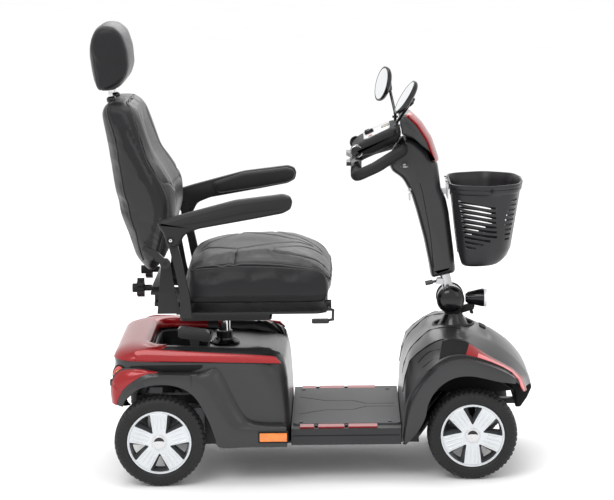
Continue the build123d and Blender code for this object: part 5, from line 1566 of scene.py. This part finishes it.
def offset_outline(outline, d):
    """Moves a closed outline inwards by d mm along its point normals (works for counter- or clockwise)."""
    n = len(outline)
    area = sum(outline[i][0] * outline[(i + 1) % n][1] - outline[(i + 1) % n][0] * outline[i][1] for i in range(n))
    sgn = 1 if area > 0 else -1
    out = []
    for i in range(n):
        a, b, c = Vector(outline[i - 1]), Vector(outline[i]), Vector(outline[(i + 1) % n])
        t = ((b - a).normalized() + (c - b).normalized())
        if t.length < 1e-6:
            t = (c - b)
        t.normalize()
        out.append((b.x - t.y * sgn * d, b.y + t.x * sgn * d))
    return out


def dense_outline(pts, r, step=12.0):
    out = round_outline(pts, r, 6)
    p = [Vector((x, 0, z)) for x, z in out] + [Vector((out[0][0], 0, out[0][1]))]
    q = even([tuple(v_) for v_ in p], step)
    return [(v_.x, v_.z) for v_ in q]


def pad_from(outline, half, edge_drop, cols=9, mat="vinyl_side", name="pad"):
    """A pad across y from -half to half whose outline shrinks near the ends, so the side is rounded: edge_drop is (share of half, inward mm) pairs."""
    st = []
    ys = sorted({round(s * half * f, 3) for f, d in edge_drop for s in (1, -1)})
    dd = {f: d for f, d in edge_drop}
    for y in ys:
        f = abs(y) / half
        d = np.interp(f, [e[0] for e in edge_drop], [e[1] for e in edge_drop])
        st.append((y, offset_outline(outline, d)))
    return section_loft(name, st, mat)


# seat cushion: a domed top over a boxed side
SEAT = [(-376, 530), (-374, 630), (-329, 650), (-270, 661), (-210, 669), (-110, 669), (-44, 662), (10, 644), (42, 618), (55, 592), (53, 560), (34, 530)]
base = dense_outline(SEAT, [16, 20, 60, 60, 60, 60, 50, 40, 30, 24, 24, 16], 13)
cush = pad_from(base, 226, [(0, 0), (0.35, 0.5), (0.62, 2.0), (0.8, 5.5), (0.9, 11), (0.955, 18), (0.985, 27), (1.0, 40)], name="seat_cushion_pad")
# sides stand nearly upright below the seam and roll over above it
for v_ in cush.data.vertices:
    x, y, z = v_.co * 1000
    if z < 640 and abs(y) > 150:
        k = min(1, (640 - z) / 40)
        lim = 231 - 3 * max(0, (560 - z) / 30)
        v_.co.y = math.copysign(abs(y) + (lim - abs(y)) * k * max(0, min(1, (abs(y) - 196) / 18)), y) * 0.001
        if z < 612 and abs(y) > 190:
            v_.co.z = (z - 18 * min(1, (612 - z) / 40)) * 0.001
remesh(cush, 6.0)
inflate(cush, 3.6, 6.5, pin=lambda c: 1.0 if c.z < 540 else 0.0)
s_ = cush.modifiers.new("sub", "SUBSURF")
s_.levels = s_.render_levels = 1
apply_mods(cush, 80)


def seat_top(x, y):
    return np.interp(x, [-374, -329, -270, -210, -110, -44, 8, 37, 50], [648, 670, 684, 692, 692, 684, 660, 634, 606]) - 34 * max(0, (abs(y) - 120) / 110) ** 2


# sewn lines: the seam round the side, the lobes on the top and their double lines
side_seam = {}
for s in (1, -1):
    side_seam[s] = smooth_line([(-372, s * 208, 622), (-330, s * 215, 633), (-270, s * 219, 638), (-200, s * 221, 640), (-110, s * 221, 637), (-50, s * 219, 630), (0, s * 214, 619), (38, s * 205, 604), (56, s * 186, 592), (61, s * 120, 588), (61, 0, 588)], 8)
lobes = []
for s in (1, -1):
    lobes.append([(x, s * y, z) for x, y, z in even([(-340, 24, 655), (-292, 72, 668), (-223, 140, 668)], 8)])
    lobes.append([(x, s * y, z) for x, y, z in even([(-223, 140, 668), (-150, 96, 676), (-68, 30, 672), (4, 3, 656)], 8)])
    lobes.append(smooth_line([(-223, s * 142, 668), (-229, s * 170, 662), (-231, s * 212, 642)], 8))
    lobes.append(smooth_line([(30, s * 26, 640), (-20, s * 58, 660), (-84, s * 112, 670), (-117, s * 146, 666), (-112, s * 168, 660), (-66, s * 176, 656), (-14, s * 172, 648), (36, s * 152, 622)], 8))
cross = []
groove(cush, [on_surface(cush, l, 0) for l in side_seam.values()], 4.5, 2.8)
groove(cush, [on_surface(cush, l, 0) for l in lobes + cross], 5.5, 3.2)
wrinkle(cush, 1.3, 14)
cush.data.materials.clear()
for one in ("vinyl_side", "vinyl_face_painted_highlight", "matt_black"):
    cush.data.materials.append(M[one])
# the top panel and the upward faces take the paler vinyl, a painted highlight; the sides and the bottom band stay dark
for p in cush.data.polygons:
    c = p.center * 1000
    seam_z = np.interp(c.x, [-372, -330, -270, -200, -110, -50, 0, 38, 56, 62], [622, 633, 638, 640, 637, 630, 619, 604, 592, 588])
    side_ = abs(c.y) > 170 or c.x > 40
    p.material_index = 1 if c.z > seam_z or (not side_ and p.normal.z > 0.1) else (2 if c.z < 549 else 0)
place(cush, "seat_base", "seat_cushion", "seat_vinyl")
for s in (1, -1):
    side = "left" if s > 0 else "right"
    piping(f"seat_piping_{side}", cush, side_seam[s], "seat_base", 2.6)
    for k, dz in enumerate((7.5, -7.5)):
        stitches(f"seat_stitch_{side}_{k}", cush, [(x, y, z + dz) for x, y, z in side_seam[s]], "seat_base")
for k, l in enumerate(lobes):
    for j, dd in enumerate((3.2, -3.2)):
        stitches(f"seat_lobe_stitch_{k}_{j}", cush, [(x + dd * 0.3, y + dd, z) for x, y, z in l], "seat_base")
for k, l in enumerate(cross):
    for j, dd in enumerate((3.2, -3.2)):
        stitches(f"seat_cross_stitch_{k}_{j}", cush, [(x + dd, y, z) for x, y, z in l], "seat_base")

# backrest: dark side bolsters, a stitched face whose paler vinyl is a painted highlight
BACK = [(-490, 602), (-470, 598), (-443, 632), (-424, 700), (-399, 790), (-401, 836), (-424, 883), (-464, 945), (-503, 1064), (-517, 1094), (-541, 1107), (-582, 1108), (-602, 1098), (-608, 1080), (-590, 973), (-573, 850), (-556, 772), (-535, 711), (-516, 650)]
bo = dense_outline(BACK, [8, 8, 26, 90, 60, 50, 60, 80, 60, 20, 20, 20, 16, 30, 90, 90, 60, 60, 30], 14)


def back_width(x, z):
    """Half width of the backrest at a height: the side bolsters stand out over the middle of the back and fade upwards; the rear stays narrow."""
    front = np.interp(z, [610, 650, 720, 800, 880, 960, 1040, 1106], [150, 190, 216, 222, 220, 208, 186, 158])
    xf_ = np.interp(z, [610, 700, 790, 836, 883, 945, 1064, 1106], [-470, -424, -399, -401, -424, -464, -503, -530])
    xr_ = np.interp(z, [610, 652, 711, 772, 850, 973, 1080, 1106], [-486, -508, -526, -548, -564, -580, -598, -590])
    u = (xf_ - x) / max(20, (xf_ - xr_))
    u = max(0, min(1, u))
    rear = min(front, 158)
    k = max(0, min(1, (u - 0.25) / 0.75))
    k = 1 - k * k * (3 - 2 * k)
    return rear + (front - rear) * k


st = []
for f, d in ((-1.0, 26), (-0.975, 16), (-0.93, 9), (-0.86, 4), (-0.74, 1), (-0.5, 0), (-0.2, 0), (0.0, 0), (0.2, 0), (0.5, 0), (0.74, 1), (0.86, 4), (0.93, 9), (0.975, 16), (1.0, 26)):
    out = offset_outline(bo, d)
    ring = []
    for x, z in out:
        y = f * back_width(x, z)
        # the face is hollow between the bolsters
        xf_ = np.interp(z, [610, 700, 790, 836, 883, 945, 1064, 1106], [-470, -424, -399, -401, -424, -464, -503, -530])
        if x > xf_ - 40 and 630 < z < 1080:
            x -= 15 * max(0, 1 - abs(f) / 0.62) ** 0.8 * min(1, (z - 630) / 60) * min(1, (1080 - z) / 60)
        ring.append((x, y, z))
    st.append(ring)
back = make("backrest_pad", *loft(st), "vinyl_side", smooth=60)
remesh(back, 6.0)
inflate(back, 3.6, 5.5)
s_ = back.modifiers.new("sub", "SUBSURF")
s_.levels = s_.render_levels = 1
apply_mods(back, 80)


def front_x(z):
    return np.interp(z, [610, 700, 790, 836, 883, 945, 1064, 1106], [-462, -416, -391, -393, -416, -456, -495, -530])


bseams, blines = {}, []
for s in (1, -1):
    bseams[s] = smooth_line([(front_x(z) - dx, s * y, z) for z, y, dx in ((640, 168, 12), (700, 196, 16), (780, 206, 16), (850, 206, 16), (930, 196, 14), (1010, 176, 12), (1080, 148, 8), (1104, 110, 6), (1108, 0, 0))], 8)
    blines.append(smooth_line([(front_x(z), s * y, z) for z, y in ((660, 108), (740, 124), (820, 132), (900, 128), (980, 116), (1060, 96))], 8))
    blines.append(smooth_line([(front_x(890) + 2, s * 200, 884), (front_x(880), s * 168, 872), (front_x(860), s * 128, 862)], 8))
bcross = [smooth_line([(front_x(z) - 10, y, z) for y in (-126, 0, 126)], 8) for z in (848,)]
rear_seam = {s: smooth_line([(x, s * y, z) for x, z, y in ((-500, 640, 150), (-520, 711, 168), (-538, 772, 172), (-556, 850, 172), (-573, 973, 166), (-590, 1070, 150), (-586, 1104, 120))], 8) for s in (1, -1)}
groove(back, [on_surface(back, l, 0) for l in bseams.values()], 4.5, 2.4)
groove(back, [on_surface(back, l, 0) for l in rear_seam.values()], 6.0, 0.7)
groove(back, [on_surface(back, l, 0) for l in blines + bcross], 5.5, 3.0)
wrinkle(back, 1.2, 13, 3.3)
back.data.materials.clear()
for one in ("vinyl_side", "vinyl_face_painted_highlight", "vinyl_dark"):
    back.data.materials.append(M[one])
# the front face panel takes the paler vinyl, a painted highlight; rear-facing faces take the rear-panel vinyl
for p in back.data.polygons:
    c = p.center * 1000
    seam_y = np.interp(c.z, [640, 700, 780, 850, 930, 1010, 1080, 1106], [168, 196, 206, 206, 196, 176, 148, 100])
    p.material_index = 1 if p.normal.x > 0.25 and abs(c.y) < seam_y and c.x > front_x(c.z) - 34 else (2 if p.normal.x < -0.4 else 0)
place(back, "backrest", "backrest", "seat_vinyl")
for s in (1, -1):
    side = "left" if s > 0 else "right"
    piping(f"back_piping_{side}", back, bseams[s], "backrest", 2.4)
    piping(f"back_rear_piping_{side}", back, rear_seam[s], "backrest", 2.3, lift=0.9)
    for k, dy in enumerate((7, -7)):
        stitches(f"back_stitch_{side}_{k}", back, [(x, y + s * dy, z) for x, y, z in bseams[s][:-8]], "backrest")
for k, l in enumerate(blines):
    for j, dd in enumerate((3.2, -3.2)):
        stitches(f"back_line_stitch_{k}_{j}", back, [(x, y + dd, z + dd * 0.3) for x, y, z in l], "backrest")
for k, l in enumerate(bcross):
    for j, dd in enumerate((3.2, -3.2)):
        stitches(f"back_cross_stitch_{k}_{j}", back, [(x, y, z + dd) for x, y, z in l], "backrest")

# headrest: D-shaped pad, two side panels with piping
HEAD = [(-626, 1128), (-636, 1196), (-643, 1260), (-638, 1288), (-625, 1312), (-602, 1325), (-569, 1321), (-545, 1298), (-530, 1251), (-527, 1200), (-537, 1168), (-562, 1143), (-592, 1129)]
ho = dense_outline(HEAD, [14, 60, 30, 20, 20, 24, 24, 24, 30, 26, 20, 24, 20], 11)
st = []
for f, d in ((-1, 20), (-0.97, 11), (-0.9, 5), (-0.78, 2), (-0.5, 0), (0, 0), (0.5, 0), (0.78, 2), (0.9, 5), (0.97, 11), (1, 20)):
    st.append([(x, f * 116, z) for x, z in offset_outline(ho, d)])
head = make("headrest_pad", *loft(st), "vinyl_side", smooth=60)
remesh(head, 5.0)
inflate(head, 3.6, 4.5)
s_ = head.modifiers.new("sub", "SUBSURF")
s_.levels = s_.render_levels = 1
apply_mods(head, 80)
hs = {}
for s in (1, -1):
    loop_ = offset_outline(ho, 3)
    hs[s] = [(x, s * 104, z) for x, z in loop_] + [(loop_[0][0], s * 104, loop_[0][1])]
groove(head, [on_surface(head, l, 0) for l in hs.values()], 4.0, 1.8)
wrinkle(head, 0.9, 16, 8.1)
head.data.materials.clear()
for one in ("vinyl_side", "vinyl_face_painted_highlight"):
    head.data.materials.append(M[one])
# the band between the side panels takes the paler vinyl, a painted highlight
for p in head.data.polygons:
    c = p.center * 1000
    p.material_index = 0 if abs(c.y) > 104 else 1
place(head, "headrest", "headrest", "seat_vinyl")
for s in (1, -1):
    side = "left" if s > 0 else "right"
    piping(f"head_piping_{side}", head, hs[s], "headrest", 2.0, lift=0.8)
    stitches(f"head_stitch_{side}", head, [(x, y - s * 7, z) for x, y, z in hs[s]], "headrest", 4.2, 2.0, 0.45)

# headrest posts with notches and their collars on the backrest
for s in (1, -1):
    side = "left" if s > 0 else "right"
    a = Vector((-566, s * 58, 990))
    d = Vector((-0.174, 0, 0.985))
    prof = []
    t = 0
    while t < 205:
        prof += [(6.0, t), (6.0, t + 11.2), (5.1, t + 12.0), (5.1, t + 14.2), (6.0, t + 15.0)]
        t += 15.2
    prof = [(0.01, 0)] + prof + [(0.01, t)]
    rot = d.to_track_quat("Z", "Y").to_matrix().to_4x4()
    o = make(f"headrest_post_{side}", *xf(lathe(prof[:-1] + [(0.01, prof[-2][1])], 32, closed=False, axis="Z"), Matrix.Translation(a) @ rot), "chrome")
    place(o, "headrest", "headrest_posts" if s > 0 else (), "chrome_post")
    o = make(f"headrest_collar_{side}", *xf(lathe([(6.4, 108), (13, 108), (14.5, 113), (14, 119), (11.5, 122.5), (8.5, 124), (6.4, 124)], 48, axis="Z"), Matrix.Translation(a) @ rot), "gloss_black")
    place(o, "backrest", (), "gloss_black")


# ------------------------------------------------------------------ armrests
ARM = [(-441, 780), (-367, 801), (-220, 839), (-83, 855), (-62, 848), (-56, 832), (-61, 812), (-84, 800), (-172, 784), (-324, 758), (-364, 742), (-379, 712), (-390, 706), (-413, 707), (-425, 747), (-441, 770)]
ARM_R = [3, 60, 200, 12, 12, 12, 12, 30, 100, 60, 30, 14, 6, 8, 30, 4]
PAD = [(-318, 806), (-220, 836), (-86, 851), (-66, 845), (-60, 831), (-64, 815), (-86, 804), (-172, 790), (-300, 772)]
ao = dense_outline(ARM, ARM_R, 7)
po = dense_outline(PAD, [10, 100, 12, 10, 10, 12, 30, 100, 16], 7)
for s in (1, -1):
    side = "left" if s > 0 else "right"
    st = [[(x, s * y, z) for x, z in offset_outline(ao, d)] for y, d in ((288.8, 3.5), (289.6, 1.6), (292, 0.4), (296, 0), (304, 0), (312, 0.6), (317, 1.8), (321, 4.2), (324, 7.6), (325.6, 11.5))]
    body_ = loft(st)
    st = [[(x, s * y, z) for x, z in offset_outline(po, d)] for y, d in ((270.6, 9.0), (271.6, 5.6), (274, 2.6), (278, 0.8), (283, 0), (292, 0))]
    o = make(f"armrest_{side}", *cat(body_, loft(st)), "pu", smooth=50)
    place(o, f"{side}_armrest", f"{side}_armrest", "armrest_pu")
    # parting line along the outer face, recess and screw at the hinge
    line = smooth_line([(-384, s * 325.2, 770), (-300, s * 325.6, 782), (-200, s * 325.8, 803), (-100, s * 325.6, 815), (-74, s * 325.0, 824)], 8)
    rings = [[(x, y + s * 0.5, z - 0.5), (x, y + s * 0.5, z + 0.5), (x, y - s * 2, z + 0.5), (x, y - s * 2, z - 0.5)] for x, y, z in line]
    o = make(f"armrest_line_{side}", *loft(rings), "guard", smooth=60)
    place(o, f"{side}_armrest", (), "armrest_pu")
    at = Matrix.Translation((-403, s * 324.4, 728)) @ (Matrix.Identity(4) if s > 0 else Matrix.Rotation(math.pi, 4, "Z"))
    o = make(f"armrest_cup_{side}", *xf(lathe([(6.8, -3), (7.4, 1.5), (9.4, 2.2), (10.4, 1.2), (10.6, -3)], 40), at), "guard")
    place(o, f"{side}_armrest", (), "armrest_pu")
    o = make(f"armrest_screw_{side}", *xf(lathe([(0.01, 0.4), (1.6, 0.4), (1.9, 1.4), (4.4, 1.2), (6.0, 0.2), (6.4, -2), (0.01, -2)], 36, closed=False), at), "chrome")
    place(o, f"{side}_armrest", (), "bright_steel")


# ------------------------------------------------------------------ finishes of the CAD pieces that stay
def finish_node(node, mat):
    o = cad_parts[node]
    o.data.materials.clear()
    o.data.materials.append(M[mat])
    o.data.polygons.foreach_set("material_index", [0] * len(o.data.polygons))


NODE_MATS = {
    "main_frame": "frame", "transaxle": "alloy", "batteries": "battery", "rear_body_shell": "charcoal", "rear_top_cover": "red",
    "rear_fenders": "charcoal", "lamps_reflectors": "red_lens", "floor_pan": "charcoal_matt", "floor_mat": "mat",
    "deck_trim_strips": "red", "deck_screws": "screw", "front_cowl": "charcoal", "front_fenders": "charcoal",
    "front_accents": "red", "tie_rods": "steel", "steering_stem": "frame", "tilt_joint_housing": "gloss_black",
    "headlight": "gloss_black", "tiller_tube": "steel", "tiller_shroud": "charcoal", "tiller_front_cover": "red",
    "dash_console": "charcoal", "delta_handlebar": "grip", "mirror_stalks": "gloss_black", "tilt_lever": "lever_grey",
    "throttle_lever": "gloss_black", "speed_dial": "gloss_black", "horn_button": "button_red", "ignition_key": "steel",
    "basket": "basket", "freewheel_lever": "lever_grey", "seat_post": "chrome", "seat_swivel_plate": "frame",
    "seat_base_frame": "frame", "seat_cushion": "vinyl_side", "swivel_lever": "gloss_black", "recline_lever": "gloss_black",
    "backrest": "vinyl_side", "headrest": "vinyl_side", "headrest_posts": "chrome",
}
for s in ("left", "right"):
    NODE_MATS |= {f"{s}_mirror": "gloss_black", f"{s}_mirror_glass": "mirror", f"{s}_armrest_bracket": "frame", f"{s}_armrest": "pu",
                  f"{s}_clamp_knob": "matt_black", f"{s}_steering_knuckle": "alloy"}
    for e in ("front", "rear"):
        NODE_MATS |= {f"{e}_{s}_rim": "silver", f"{e}_{s}_tyre": "tyre"}
for node, mat in NODE_MATS.items():
    finish_node(node, mat)


# ------------------------------------------------------------------ floor, light
def backdrop():
    me = bpy.data.meshes.new("floor")
    r = 45.0
    n = 96
    me.from_pydata([(0, 0, 0)] + [(r * math.cos(2 * math.pi * i / n), r * math.sin(2 * math.pi * i / n), 0) for i in range(n)], [],
                   [(0, 1 + i, 1 + (i + 1) % n) for i in range(n)])
    o = bpy.data.objects.new("floor", me)
    scene.collection.objects.link(o)
    mat = surf("floor_paper", (0.97, 0.97, 0.972), rough=0.75, bump=0.03, grain=60, vary=0.01, vary_scale=1.5)
    me.materials.append(mat)


backdrop()
world = bpy.data.worlds.new("studio")
scene.world = world
world.use_nodes = True
bg = world.node_tree.nodes["Background"]
bg.inputs["Color"].default_value = (1.0, 1.0, 1.0, 1)
bg.inputs["Strength"].default_value = 1.03


def softbox(name, loc, target, size, energy, color=(1, 1, 1)):
    d = bpy.data.lights.new(name, "AREA")
    d.shape = "RECTANGLE"
    d.size, d.size_y = size
    d.energy = energy
    d.color = color
    o = bpy.data.objects.new(name, d)
    scene.collection.objects.link(o)
    o.location = loc
    o.rotation_euler = (Vector(target) - Vector(loc)).to_track_quat("-Z", "Y").to_euler()
    return o


softbox("key", (-1.6, -3.6, 4.2), (0, 0, 0.5), (2.6, 2.0), 82)
softbox("fill", (3.4, -3.2, 2.4), (0.1, 0, 0.5), (2.2, 2.2), 12)
softbox("top", (0.0, 0.4, 4.4), (0, 0, 0.4), (3.2, 2.2), 70)
softbox("back", (0.4, 4.0, 2.8), (0, 0, 0.6), (3.0, 1.6), 30)
scene.view_settings.view_transform = "Standard"
scene.view_settings.exposure = 0.0
